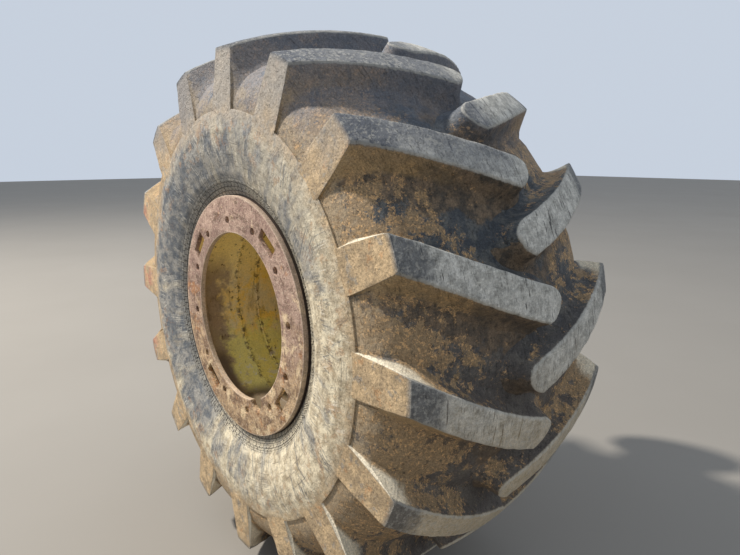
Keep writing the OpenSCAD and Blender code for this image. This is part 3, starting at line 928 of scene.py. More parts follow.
class RingTree(TreeBuilder):
    """A tree that sets copies of a piece round the axle's axis and wears their surface."""

    INPUTS = {
        "Geometry": "Geometry",
        "Count": "Int",
        "Wear Depth": "Float",
        "Wear Size": "Float",
        "Seed": "Float",
        "Material": "Material",
    }
    NOISE_DETAIL = 5.0
    NOISE_MEAN = 0.55

    def __init__(self) -> None:
        """Builds the tree, with its inputs named."""
        super().__init__(bpy.data.node_groups.new("ring_of_worn_copies", "GeometryNodeTree"))
        for label, kind in self.INPUTS.items():
            self.tree.interface.new_socket(label, in_out="INPUT", socket_type=f"NodeSocket{kind}")
        self.tree.interface.new_socket("Geometry", in_out="OUTPUT", socket_type="NodeSocketGeometry")
        self.given = self.node(Kind.GIVEN).outputs
        self.node(Kind.RESULT, self.add(Kind.COATED, self.worn(self.copies()), self.given["Material"]))

    def copies(self) -> Socket:
        """Sets the copies on points at the origin, each turned about Y by its share of a turn.

        Returns:
            Socket of the copies.
        """
        count = self.given["Count"]
        turn = self.add(Kind.MULTIPLY, self.add(Kind.DIVIDE, self.add(Kind.INDEX), count), -FULL_TURN)
        rotation = self.add(Kind.TURN, self.add(Kind.JOIN, None, turn))
        instances = self.add(Kind.COPIES, self.add(Kind.POINTS, count), self.given["Geometry"], rotation)
        return self.add(Kind.REALIZED, instances)

    def worn(self, geometry: Socket) -> Socket:
        """Moves points along their normals by noise, as far as the mesh's own wear mark says.

        Args:
            geometry: Socket of the unworn copies.

        Returns:
            Socket of the worn copies.
        """
        scale = self.add(Kind.DIVIDE, 1.0, self.given["Wear Size"])
        noise = self.add(Kind.CLOUDS, None, self.given["Seed"], scale, self.NOISE_DETAIL)
        centred = self.add(Kind.SUBTRACT, noise, self.NOISE_MEAN)
        deep = self.add(Kind.MULTIPLY, centred, self.given["Wear Depth"])
        share = self.add(Kind.MULTIPLY, deep, self.add(Kind.NAMED, "wear"))
        return self.add(Kind.MOVED, geometry, self.add(Kind.LENGTHEN, self.add(Kind.NORMAL), share))


@dataclass(frozen=True)
class HexFastener:
    """A chamfered hexagon on a round washer, with a shank below it and, on a stud, a threaded tail.

    The thread's depth and run are shares of its pitch.
    """

    flats: float
    height: float
    washer_r: float
    shank_r: float
    tail: float = 0.0
    washer_t: float = 3 * MM
    ease: float = 0.6 * MM
    pitch: float = 3 * MM
    sides: int = 24
    top_share: float = 0.96
    thread_depth: float = 0.3
    thread_run: float = 0.45

    @property
    def turns(self) -> np.ndarray:
        """Angles of the steps round the fastener."""
        return np.arange(self.sides) * FULL_TURN / self.sides

    def rows(self, below: float) -> list[tuple[float, float | np.ndarray]]:
        """Rings from the hidden end to the free end, as a height over the seat and a radius.

        Args:
            below: How far the hidden end lies under the seat.

        Returns:
            For each ring its height, and its radius at every side or at all of them.
        """
        inner_r = self.flats / 2
        hexagon = inner_r / np.cos(np.mod(self.turns + math.pi / 6, math.pi / 3) - math.pi / 6)
        corner_r = inner_r / math.cos(math.pi / 6)
        top_r = self.top_share * inner_r
        chamfer = (corner_r - top_r) * math.tan(math.pi / 6)
        rows = [(-below, self.shank_r), (-self.ease, self.shank_r), (-self.ease, self.washer_r)]
        rows += [(self.washer_t - self.ease, self.washer_r), (self.washer_t, self.washer_r - self.ease)]
        rows.append((self.washer_t, hexagon))
        for share in (0.0, 0.33, 0.66, 1.0):
            cone = corner_r + (top_r - corner_r) * share
            rows.append((self.height - chamfer * (1 - share), np.minimum(hexagon, cone)))
        if self.tail:
            root_r = self.shank_r - self.thread_depth * self.pitch
            rows.append((self.height, root_r))
            for number in range(int(self.tail / self.pitch)):
                crest = self.height + (number + 0.5) * self.pitch
                rows += [(crest, self.shank_r), (crest + self.thread_run * self.pitch, root_r)]
            rows.append((self.height + self.tail, root_r - self.ease))
        return rows

    def mesh(self, name: str, circle_r: float, seat_out: float, below: float, side: int) -> bpy.types.Mesh:
        """Builds one closed fastener at angle 0 on a circle round the axle.

        Args:
            name: The mesh's name.
            circle_r: Radius of the circle of fasteners.
            seat_out: Distance out of the face that the washer lies on.
            below: Length of the shank below that face.
            side: 1 where the free end points outboard, -1 where it points inboard.

        Returns:
            The mesh.
        """
        rows = self.rows(below)
        height = np.array([h for h, _ in rows])[:, None]
        radius = np.stack([np.broadcast_to(r, self.sides) for _, r in rows])
        x = circle_r + radius * np.cos(self.turns)
        z = radius * np.sin(self.turns)
        y = np.broadcast_to(-(seat_out + side * height), x.shape)
        faces = grid_faces(len(rows), self.sides, False, True)
        faces += [tuple(range(self.sides)), tuple(range(x.size - self.sides, x.size))]
        return Shell(np.stack([x, y, z], axis=-1).reshape(-1, 3), faces, {}).mesh(name)


@dataclass(frozen=True)
class WeldRipple:
    """One ripple of a weld bead: a closed, rounded scale that its neighbours overlap."""

    bead_r: float = 9 * MM
    along: float = 11 * MM
    rings: int = 5
    steps: int = 8

    def mesh(self, name: str, radius: float, out: float) -> bpy.types.Mesh:
        """Builds the ripple at angle 0, centred in the corner at a radius and a distance out.

        Args:
            name: Name of the mesh.
            radius: Radius of the corner round the axle.
            out: Distance of the corner outboard of the axle flange.

        Returns:
            The new mesh.
        """
        polar = np.linspace(0, math.pi, self.rings + 2)[1:-1, None]
        turn = np.arange(self.steps) * FULL_TURN / self.steps
        x = radius + self.bead_r * np.sin(polar) * np.cos(turn)
        y = -out + self.bead_r * np.sin(polar) * np.sin(turn)
        z = np.broadcast_to(self.along * np.cos(polar), x.shape)
        points = np.stack([x, y, z], axis=-1).reshape(-1, 3)
        poles = [[radius, -out, self.along], [radius, -out, -self.along]]
        first = len(points)
        last = first + 1
        top = first - self.steps
        faces = grid_faces(self.rings, self.steps, False, True)
        for i in range(self.steps):
            j = (i + 1) % self.steps
            faces += [(i, j, first), (top + i, top + j, last)]
        return Shell(np.concatenate([points, poles]), faces, {}).mesh(name)


@dataclass(frozen=True)
class Wear:
    """How a ring's surface is worn: how deep, over what size of patch, and which noise."""

    depth: float = 0.0
    size: float = 0.05
    seed: float = 0.0


class Workshop:
    """Makes pieces, dresses CAD nodes and ties both to the frame."""

    EASED_OVER = math.radians(24)
    FLAT_UNDER = math.radians(0.4)

    def __init__(self) -> None:
        """Builds the shared tree once."""
        self.ring_tree = RingTree().tree
        self.finishes: dict[str, bpy.types.Material] = {}

    def material(self, finish: Finish) -> bpy.types.Material:
        """Builds a finish the first time that it is asked for.

        Args:
            finish: Finish to build or to take from the store.

        Returns:
            Its material.
        """
        if finish.name not in self.finishes:
            self.finishes[finish.name] = finish.build()
        return self.finishes[finish.name]

    def shade(self, mesh: bpy.types.Mesh, sharp: float) -> bpy.types.Mesh:
        """Shades a mesh smooth, with edges sharper than an angle in degrees kept crisp.

        Args:
            mesh: Mesh to shade, changed in place.
            sharp: Angle in degrees past which an edge stays crisp.

        Returns:
            The same mesh.
        """
        mesh.shade_smooth()
        mesh.set_sharp_from_angle(angle=math.radians(sharp))
        return mesh

    def piece(
        self, name: str, mesh: bpy.types.Mesh, finish: Finish, body: str, node: str | None = None
    ) -> None:
        """Puts a mesh into the scene as a piece of the object.

        Args:
            name: The piece's name.
            mesh: Its mesh, in the frame's own coordinates.
            finish: The finish that it wears.
            body: The CAD body that it rides on.
            node: CAD node that it replaces, if it stands for one.
        """
        made = placed(name, mesh)
        mesh.materials.clear()
        mesh.materials.append(self.material(finish))
        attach(made, body)
        if node is not None:
            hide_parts(node)
        mesh.calc_loop_triangles()
        LOG.info("%s: %d triangles on %s", name, len(mesh.loop_triangles), body)

    def ring(
        self, mesh: bpy.types.Mesh, count: int, finish: Finish, sharp: float = 35.0, wear: Wear = Wear()
    ) -> bpy.types.Mesh:
        """Sets copies of a mesh round the axle with the ring tree.

        Args:
            mesh: One copy, at angle 0.
            count: Copies round the axle.
            finish: The finish that they wear.
            sharp: Angle in degrees over which an edge stays crisp.
            wear: How their surface is worn.

        Returns:
            The plain mesh of all copies.
        """
        work = placed(f"{mesh.name}_source", mesh)
        modifier = work.modifiers.new("ring", "NODES")
        modifier.node_group = self.ring_tree
        given = {
            "Count": count,
            "Wear Depth": wear.depth,
            "Wear Size": wear.size,
            "Seed": wear.seed,
            "Material": self.material(finish),
        }
        for item in self.ring_tree.interface.items_tree:
            if item.in_out == "INPUT" and item.name in given:
                modifier[item.identifier] = given[item.name]
        return self.shade(finished_mesh(work), sharp)

    def fastened(
        self,
        fastener: HexFastener,
        node: str,
        count: int,
        circle_r: float,
        finish: Finish,
        body: str,
        side: int = 1,
    ) -> None:
        """Rings a fastener round the axle in place of a CAD node, on that node's seat and to its depth.

        Args:
            fastener: The form of one fastener.
            node: The CAD node that holds the plain ones.
            count: Fasteners round the axle.
            circle_r: Radius of their circle.
            finish: The finish that they wear.
            body: The CAD body that they ride on.
            side: 1 where they point outboard, -1 where they point inboard.
        """
        low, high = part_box(node)
        free_end, hidden_end = (-low.y, -high.y) if side > 0 else (-high.y, -low.y)
        seat = free_end - side * (fastener.height + fastener.tail)
        source = fastener.mesh(f"{node}_one", circle_r, seat, abs(seat - hidden_end), side)
        self.piece(f"{node}_turned", self.ring(source, count, finish, 25.0), finish, body, node)

    def dressed(
        self, node: str, finish: Finish, body: str, round_edge: float = 1.5 * MM, steps: int = 2
    ) -> None:
        """Stands a copy of a CAD node in its place, its edges eased as the real part's are.

        Args:
            node: The CAD node.
            finish: The finish that it wears.
            body: The CAD body that it rides on.
            round_edge: How far back from an edge the rounding starts.
            steps: Faces across a rounding.
        """
        work = bmesh.new()
        work.from_mesh(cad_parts[node].data)
        bmesh.ops.remove_doubles(work, verts=work.verts, dist=MERGE)
        bmesh.ops.dissolve_limit(work, angle_limit=self.FLAT_UNDER, verts=work.verts, edges=work.edges)
        joined = [edge for edge in work.edges if len(edge.link_faces) == 2]
        sharp = [edge for edge in joined if edge.calc_face_angle(0.0) > self.EASED_OVER]
        bmesh.ops.bevel(
            work,
            geom=sharp,
            offset=round_edge,
            segments=steps,
            profile=0.6,
            affect="EDGES",
            clamp_overlap=True,
        )
        mesh = bpy.data.meshes.new(f"{node}_dressed")
        work.to_mesh(mesh)
        work.free()
        self.piece(mesh.name, self.shade(mesh, 32.0), finish, body, node)


# Tyre


class Row(Enum):
    """The two staggered rows of lugs, by the side of the tyre that they start from."""

    OUTBOARD = 1
    INBOARD = -1


@dataclass(frozen=True)
class TyreForm:
    """Sizes that the carcass and the lugs share. "w" is a distance off the tyre's centre plane."""

    radius: float = 1.000
    crown_arc: float = 1.250
    groove_depth: float = 0.075
    floor_arc: float = 1.100
    shoulder_arc: float = 0.160
    crease_in: float = 0.0145
    tread_half: float = 0.449
    section_half: float = 0.470
    side_bulge: float = 0.0612
    side_widest_r: float = 0.640
    bead_r: float = 0.4065
    flange_r: float = 0.432
    rim_half: float = 0.3937
    bead_w: float = 0.055
    tread_t: float = 0.045
    side_t: float = 0.028
    end_foot: Point = (0.465, 0.690)
    least_wear: float = 0.35
    wear_run: float = 0.05

    def top(self, w: np.ndarray) -> np.ndarray:
        """Radius of the lugs' tops."""
        return self.radius - self.crown_arc + np.sqrt(self.crown_arc**2 - w**2)

    @property
    def floor_centre(self) -> float:
        """Radius at which the centre of the groove floor's crown lies."""
        return self.radius - self.groove_depth - self.floor_arc

    @property
    def shoulder(self) -> tuple[float, float, float]:
        """Centre of the floor's shoulder arc, as w and radius, and the angle at which it meets the crown.

        Returns:
            Width and radius of the centre, and the angle.
        """
        w = self.section_half - self.crease_in - self.shoulder_arc
        reach = self.floor_arc - self.shoulder_arc
        angle = math.asin(w / reach)
        return w, self.floor_centre + reach * math.cos(angle), angle

    def floor(self, w: np.ndarray) -> np.ndarray:
        """Radius of the groove floor: a flat crown between two round shoulders.

        Args:
            w: Distances from the centre plane.

        Returns:
            The radius at each distance.
        """
        away = np.abs(w)
        shoulder_w, shoulder_r, angle = self.shoulder
        crown = self.floor_centre + np.sqrt(self.floor_arc**2 - away**2)
        drop = np.sqrt(np.maximum(self.shoulder_arc**2 - (away - shoulder_w) ** 2, 0.0))
        return np.where(away < self.floor_arc * math.sin(angle), crown, shoulder_r + drop)

    def half_floor(self) -> list[Point]:
        """The groove floor from the crease to the centre plane, as (w, radius) points.

        Returns:
            Points as (w, radius).
        """
        shoulder_w, shoulder_r, angle = self.shoulder
        meet = 90 - math.degrees(angle)
        shoulder = arc((shoulder_w, shoulder_r), self.shoulder_arc, 0, meet, 16)
        return shoulder + arc((0, self.floor_centre), self.floor_arc, meet, 90, 14)[1:]

    def side(self, radius: np.ndarray) -> np.ndarray:
        """Half width of the section at a radius."""
        rise = self.side_widest_r - self.flange_r
        return self.section_half - self.side_bulge * ((radius - self.side_widest_r) / rise) ** 2

    def wear(self, share: float | np.ndarray) -> float | np.ndarray:
        """Mark for the ring tree's wear: the least on plain skin, and 1 where the share is 1."""
        return self.least_wear + (1 - self.least_wear) * share


@dataclass(frozen=True)
class LugForm:
    """One lug, drawn on the unrolled tread: s runs round the tyre and w across it.

    A side is 1 for the lug's trailing edge and -1 for its leading edge.
    """

    tyre: TyreForm = TyreForm()
    half_width: float = 0.0495
    sweep: float = math.radians(12.2)
    bow: float = math.radians(1.0)
    trailing_corner_w: float = -0.030
    leading_corner_w: float = -0.010
    trailing_nose: float = 0.034
    leading_nose: float = 0.040
    nose_middle: Point = (0.0116, -0.068)
    nose_slope: float = math.radians(-21.0)
    spine_past_corner: float = 0.018
    end_flare: float = 0.038
    end_buried: float = 0.012

    @property
    def rolled_r(self) -> float:
        """Radius at which the tread is unrolled."""
        return float(self.tyre.top(np.array(self.tyre.tread_half)))

    def middle(self, w: np.ndarray) -> np.ndarray:
        """Place s of the lug's middle line."""
        u = (self.tyre.tread_half - w) / self.tyre.tread_half
        return self.rolled_r * (-self.sweep * u - 4 * self.bow * u * (1 - u))

    def corner_w(self, side: int) -> float:
        """Place w at which one edge's straight run ends and the nose begins."""
        return self.trailing_corner_w if side > 0 else self.leading_corner_w

    def nose(self, side: int, steps: int) -> np.ndarray:
        """Rounded end of the lug, from one edge's corner to the nose's middle.

        Args:
            side: 1 for the trailing edge, -1 for the leading edge.
            steps: Points after the corner.

        Returns:
            Points as (s off the middle line, w).
        """
        reach = side * (self.trailing_nose if side > 0 else self.leading_nose)
        start = np.array([side * self.half_width, self.corner_w(side)])
        middle = np.array(self.nose_middle)
        control = middle + reach * np.array([math.cos(self.nose_slope), math.sin(self.nose_slope)])
        t = np.linspace(0, 1, steps + 1)[1:, None]
        return (1 - t) ** 2 * start + 2 * t * (1 - t) * control + t**2 * middle


class Lug:
    """Builds one lug's closed shell from rows of points across it.

    Its columns run over the top and then down the flank. The flank is given as heights, in shares of the
    groove's depth, at distances outside the top's edge. Near the lug's outer end it runs out straighter,
    in one broad fillet.
    """

    EDGE_ROWS = 34
    NOSE_ROWS = 12
    END_ROWS = 12
    TOP_COLUMNS = 5
    INSIDE = np.arange(TOP_COLUMNS) / TOP_COLUMNS
    FLANK = np.array([-8, -5.5, -3, 0, 2.5, 5, 9, 14, 20, 28, 38, 52]) * MM
    MID_RISE = np.array([1, 0.996, 0.992, 0.97, 0.91, 0.81, 0.61, 0.40, 0.23, 0.11, 0.02, -0.12])
    END_RISE = np.array([1, 0.9975, 0.995, 0.985, 0.93, 0.86, 0.75, 0.61, 0.44, 0.24, 0.06, -0.12])
    STRAIGHTER_FROM = 0.30
    STRAIGHT_AFTER = 0.149
    EDGE_WEAR = 0.012
    FOOT_CLOSING = 0.9
    TOP_ABOVE = 0.97
    WORN_ABOVE = 0.05

    def __init__(self, form: LugForm) -> None:
        """Keeps the lug's form."""
        self.form = form
        self.tyre = form.tyre

    def edge(self, side: int) -> np.ndarray:
        """Outline of the top on one side, from the shoulder to the nose's middle, as (s, w) points.

        Args:
            side: 1 for the trailing side, -1 for the leading side.

        Returns:
            One point a row.
        """
        w = np.linspace(self.tyre.tread_half, self.form.corner_w(side), self.EDGE_ROWS)
        straight = np.stack([np.full_like(w, side * self.form.half_width), w], axis=-1)
        path = np.concatenate([straight, self.form.nose(side, self.NOSE_ROWS)])
        path[:, 0] += self.form.middle(path[:, 1])
        return path

    def spine(self) -> np.ndarray:
        """Middle line of the top, with as many (s, w) points as the edges.

        Returns:
            One point a row.
        """
        corner_w = (self.form.corner_w(1) + self.form.corner_w(-1)) / 2
        straight = np.linspace(self.tyre.tread_half, corner_w, self.EDGE_ROWS)
        nose = np.linspace(corner_w, corner_w - self.form.spine_past_corner, self.NOSE_ROWS + 1)[1:]
        w = np.concatenate([straight, nose])
        return np.stack([self.form.middle(w), w], axis=-1)

    def tread_half(self, side: int) -> tuple[np.ndarray, np.ndarray]:
        """One half of the lug over the tread.

        Args:
            side: 1 for the trailing half, -1 for the leading half.

        Returns:
            Points as (radius, angle, w), in columns from the middle line to the root, and their heights
            as shares of the groove's depth.
        """
        edge = self.edge(side)
        slope = self.form.nose_slope
        tangent = np.gradient(edge, axis=0)
        tangent[0] = 0.0, -1.0
        tangent[-1] = -side * math.cos(slope), -side * math.sin(slope)
        tangent /= np.hypot(*tangent.T)[:, None]
        normal = side * np.stack([-tangent[:, 1], tangent[:, 0]], axis=-1)
        outside = edge[:, None] + normal[:, None] * self.FLANK[:, None]
        share = self.INSIDE[:, None]
        inside = self.spine()[:, None] * (1 - share) + outside[:, :1] * share
        s, w = np.moveaxis(np.concatenate([inside, outside], axis=1), -1, 0)
        straight = np.clip((edge[:, 1:] - self.STRAIGHTER_FROM) / self.STRAIGHT_AFTER, 0, 1)
        flank = self.MID_RISE * (1 - straight) + self.END_RISE * straight
        height = np.concatenate([np.ones(inside.shape[:2]), flank], axis=1)
        floor = self.tyre.floor(w)
        radius = floor + height * (self.tyre.top(w) - floor)
        return np.stack([radius, s / self.form.rolled_r, w], axis=-1), height

    def end_half(self, side: int) -> tuple[np.ndarray, np.ndarray]:
        """One half of the lug's outer face, from its foot up to the shoulder.

        Args:
            side: 1 for the trailing half, -1 for the leading half.

        Returns:
            Points and heights, as the half over the tread has them.
        """
        form, tyre = self.form, self.tyre
        down = np.linspace(1, 0, self.END_ROWS + 1)[:-1, None]
        outside = form.half_width + form.end_flare * down + self.FLANK * (1 - self.FOOT_CLOSING * down)
        s = side * np.concatenate([outside[:, :1] * self.INSIDE, outside], axis=1)
        height = np.tile(np.concatenate([np.ones(self.TOP_COLUMNS), self.END_RISE]), (self.END_ROWS, 1))
        foot = np.array(tyre.end_foot)
        top_start = np.array([tyre.tread_half, form.rolled_r])
        floor_start = np.array([tyre.tread_half, tyre.floor(tyre.tread_half)])
        top = top_start + (foot - top_start) * down
        floor = floor_start + (foot - form.end_buried - floor_start) * down
        w, radius = (floor[:, i, None] + height * (top - floor)[:, i, None] for i in range(2))
        return np.stack([radius, s / form.rolled_r, w], axis=-1), height

    def shell(self, row: Row, angle: float) -> Shell:
        """Builds the lug of one row with its outer end at an angle.

        Args:
            row: The row that the lug belongs to.
            angle: Angle of the outer end's middle, in radians.

        Returns:
            The lug's closed shell, with its marks.
        """
        halves = []
        for side in (1, -1):
            parts = zip(self.end_half(side), self.tread_half(side), strict=True)
            halves.append([np.concatenate(part) for part in parts])
        points, height = (
            np.concatenate([trailing[:, :0:-1], leading], axis=1)
            for trailing, leading in zip(*halves, strict=True)
        )
        rows, columns = height.shape
        out = CENTRE_OUT + row.value * points[..., 2]
        places = on_wheel(points[..., 0], points[..., 1] + angle, out)
        faces = grid_faces(rows, columns)
        for start in range(0, (rows - 1) * columns, columns):
            below = start + columns
            faces.append((start, below, below + columns - 1, below - 1))
        faces.append(tuple(range(columns)))
        at_edge = np.clip(1 - np.abs(self.FLANK) / self.EDGE_WEAR, 0, 1)
        half_wear = np.concatenate([np.zeros(self.TOP_COLUMNS), at_edge])
        wear = self.tyre.wear(np.concatenate([half_wear[:0:-1], half_wear]))
        on_end = np.arange(rows)[:, None] < self.END_ROWS
        on_trailing_half = np.arange(columns) < columns // 2
        marks = {
            "lug_height": height,
            "end_face": on_end & (height > self.TOP_ABOVE),
            "side_wall": np.zeros_like(height),
            "slate": np.ones((rows, 1)) * on_trailing_half,
            "wear": wear * (height > self.WORN_ABOVE),
        }
        return Shell(places.reshape(-1, 3), faces, {name: values.ravel() for name, values in marks.items()})


@dataclass
class Tyre:
    """The tyre: a hollow carcass, two rows of lugs and the small blocks round its beads."""

    shop: Workshop
    form: TyreForm
    finish: WornRubber
    lugs_per_row: int = 16
    outer_angle: float = math.radians(89.4)
    wall_steps: int = 42
    turn_steps: int = 288
    cavity_side: tuple[float, float] = (0.47, 0.66)
    cavity_half: float = 0.40
    cavity_steps: int = 7
    wear_stops: float = 0.445
    slate_from: float = 0.25
    slate_run: float = 0.4
    rings: tuple[tuple[float, float, float], ...] = ((0.512, 0.010, 0.0016), (0.655, 0.012, 0.0020))
    block_rings: int = 5
    blocks_per_ring: int = 270
    block_first_r: float = 0.449
    block_pitch: float = 8.5 * MM
    block_half: tuple[float, float] = (math.radians(0.55), 2.6 * MM)
    block_rise: float = 2.2 * MM
    block_buried: float = 3 * MM
    block_taper: float = 0.7

    def carcass_outline(self) -> tuple[list[Point], dict[str, list[float]]]:
        """Section of the carcass as (out, radius) points, the skin and then the cavity, with its marks.

        Returns:
            The points, and for each mark its value at every point.
        """
        form = self.form
        crease_r = form.shoulder[1]
        half_floor = form.half_floor()
        skin = half_floor + mirrored(half_floor[:-1])
        wall_r = np.linspace(form.flange_r + 1 * MM, crease_r - 2 * MM, self.wall_steps)
        wall = [(float(form.side(r)) + self.moulding(r), float(r)) for r in wall_r]
        wall.append((wall[-1][0] - 1 * MM, crease_r))
        toe_w = form.rim_half - form.bead_w
        seat_w = form.rim_half - 0.3 * MM
        seat_r = form.bead_r + 1 * MM
        bead = [(toe_w, form.bead_r + 30 * MM), (toe_w, seat_r), (seat_w, seat_r)]
        outer = bead + [(seat_w, form.flange_r + 0.5 * MM)] + wall
        side_r = np.linspace(*self.cavity_side, self.cavity_steps)
        roof_w = np.linspace(self.cavity_half, 0.0, self.cavity_steps)
        cavity = [(float(form.side(r)) - form.side_t, float(r)) for r in side_r]
        cavity += [(float(w), float(form.floor(w)) - form.tread_t) for w in roof_w]
        inner = mirrored(cavity)[::-1] + cavity[-2::-1]
        on_skin = [form.wear(min(max((self.wear_stops - abs(w)) / form.wear_run, 0.0), 1.0)) for w, _ in skin]
        on_wall = [form.wear(0.0)] * len(outer)
        flat = [0.0] * (2 * len(outer) + len(skin) + len(inner))
        wall_zone = [1.0] * len(outer)
        marks = {
            "lug_height": flat,
            "end_face": flat,
            "side_wall": wall_zone + [0.0] * len(skin) + wall_zone + [0.0] * len(inner),
            "wear": on_wall + on_skin + on_wall + [0.0] * len(inner),
        }
        return [(CENTRE_OUT + w, r) for w, r in outer + skin + mirrored(outer) + inner], marks

    def moulding(self, radius: float) -> float:
        """Height of the plain moulded rings on the sidewall, each with its radius, width and height."""
        return sum(height * math.exp(-(((radius - at) / width) ** 2)) for at, width, height in self.rings)

    def slate(self, points: np.ndarray) -> np.ndarray:
        """How far each point of the groove floor is on the clean side, by the next lug's trailing flank.

        Args:
            points: Places in the frame.

        Returns:
            For each point, 1 on the clean side and 0 on the muddy side.
        """
        lug = LugForm(self.form)
        pitch = FULL_TURN / self.lugs_per_row
        w = -points[:, 1] - CENTRE_OUT
        angle = np.arctan2(points[:, 2], points[:, 0])
        stagger = np.where(w > 0, 0.0, -pitch / 2)
        across = np.minimum(np.abs(w), self.form.tread_half)
        middle = self.outer_angle + stagger + lug.middle(across) / lug.rolled_r
        phase = np.mod(middle - angle, pitch) / pitch
        share = np.clip((phase - self.slate_from) / self.slate_run, 0, 1)
        return share * share * (3 - 2 * share)

    def bead_blocks(self) -> Shell:
        """One copy's share of the bead's blocks: five in a row, coarser than real so that they show.

        Returns:
            The blocks as one shell.
        """
        blocks = None
        square = np.array([(-1, -1), (1, -1), (1, 1), (-1, 1)]) * self.block_half
        sides = [(i, (i + 1) % 4, (i + 1) % 4 + 4, i + 4) for i in range(4)]
        for number in range(self.block_rings):
            angle, radius = np.concatenate([square, square * self.block_taper]).T
            radius = radius + self.block_first_r + number * self.block_pitch
            lift = np.repeat([-self.block_buried, self.block_rise], 4)
            out = CENTRE_OUT + self.form.side(radius) + lift
            marks = dict.fromkeys(("lug_height", "end_face", "slate", "wear"), np.zeros(8))
            marks["side_wall"] = np.ones(8)
            block = Shell(on_wheel(radius, angle, out), [(0, 1, 2, 3), (4, 5, 6, 7), *sides], marks)
            blocks = block if blocks is None else blocks.joined(block)
        return blocks

    def build(self) -> None:
        """Builds the tyre's pieces and ties them to the wheel."""
        outline, marks = self.carcass_outline()
        carcass = revolve(outline, self.turn_steps, marks)
        carcass.marks["slate"] = self.slate(carcass.points)
        self.add("tyre_carcass", carcass, 1, 28.0, Wear(12 * MM, 70 * MM, 1.0))
        lug = Lug(LugForm(self.form))
        for row in Row:
            stagger = 0.0 if row is Row.OUTBOARD else -math.pi / self.lugs_per_row
            shell = lug.shell(row, self.outer_angle + stagger)
            wear = Wear(9 * MM, 35 * MM, 2.0)
            self.add(f"tyre_lugs_{row.name.lower()}", shell, self.lugs_per_row, 40.0, wear)
        self.add("tyre_bead_blocks", self.bead_blocks(), self.blocks_per_ring, 35.0, Wear())

    def add(self, name: str, shell: Shell, count: int, sharp: float, wear: Wear) -> None:
        """Rings a shell round the axle, worn, as a piece that stands for the CAD tyre."""
        mesh = self.shop.ring(shell.mesh(name), count, self.finish, sharp, wear)
        self.shop.piece(name, mesh, self.finish, WHEEL, "tyre")


# Rim


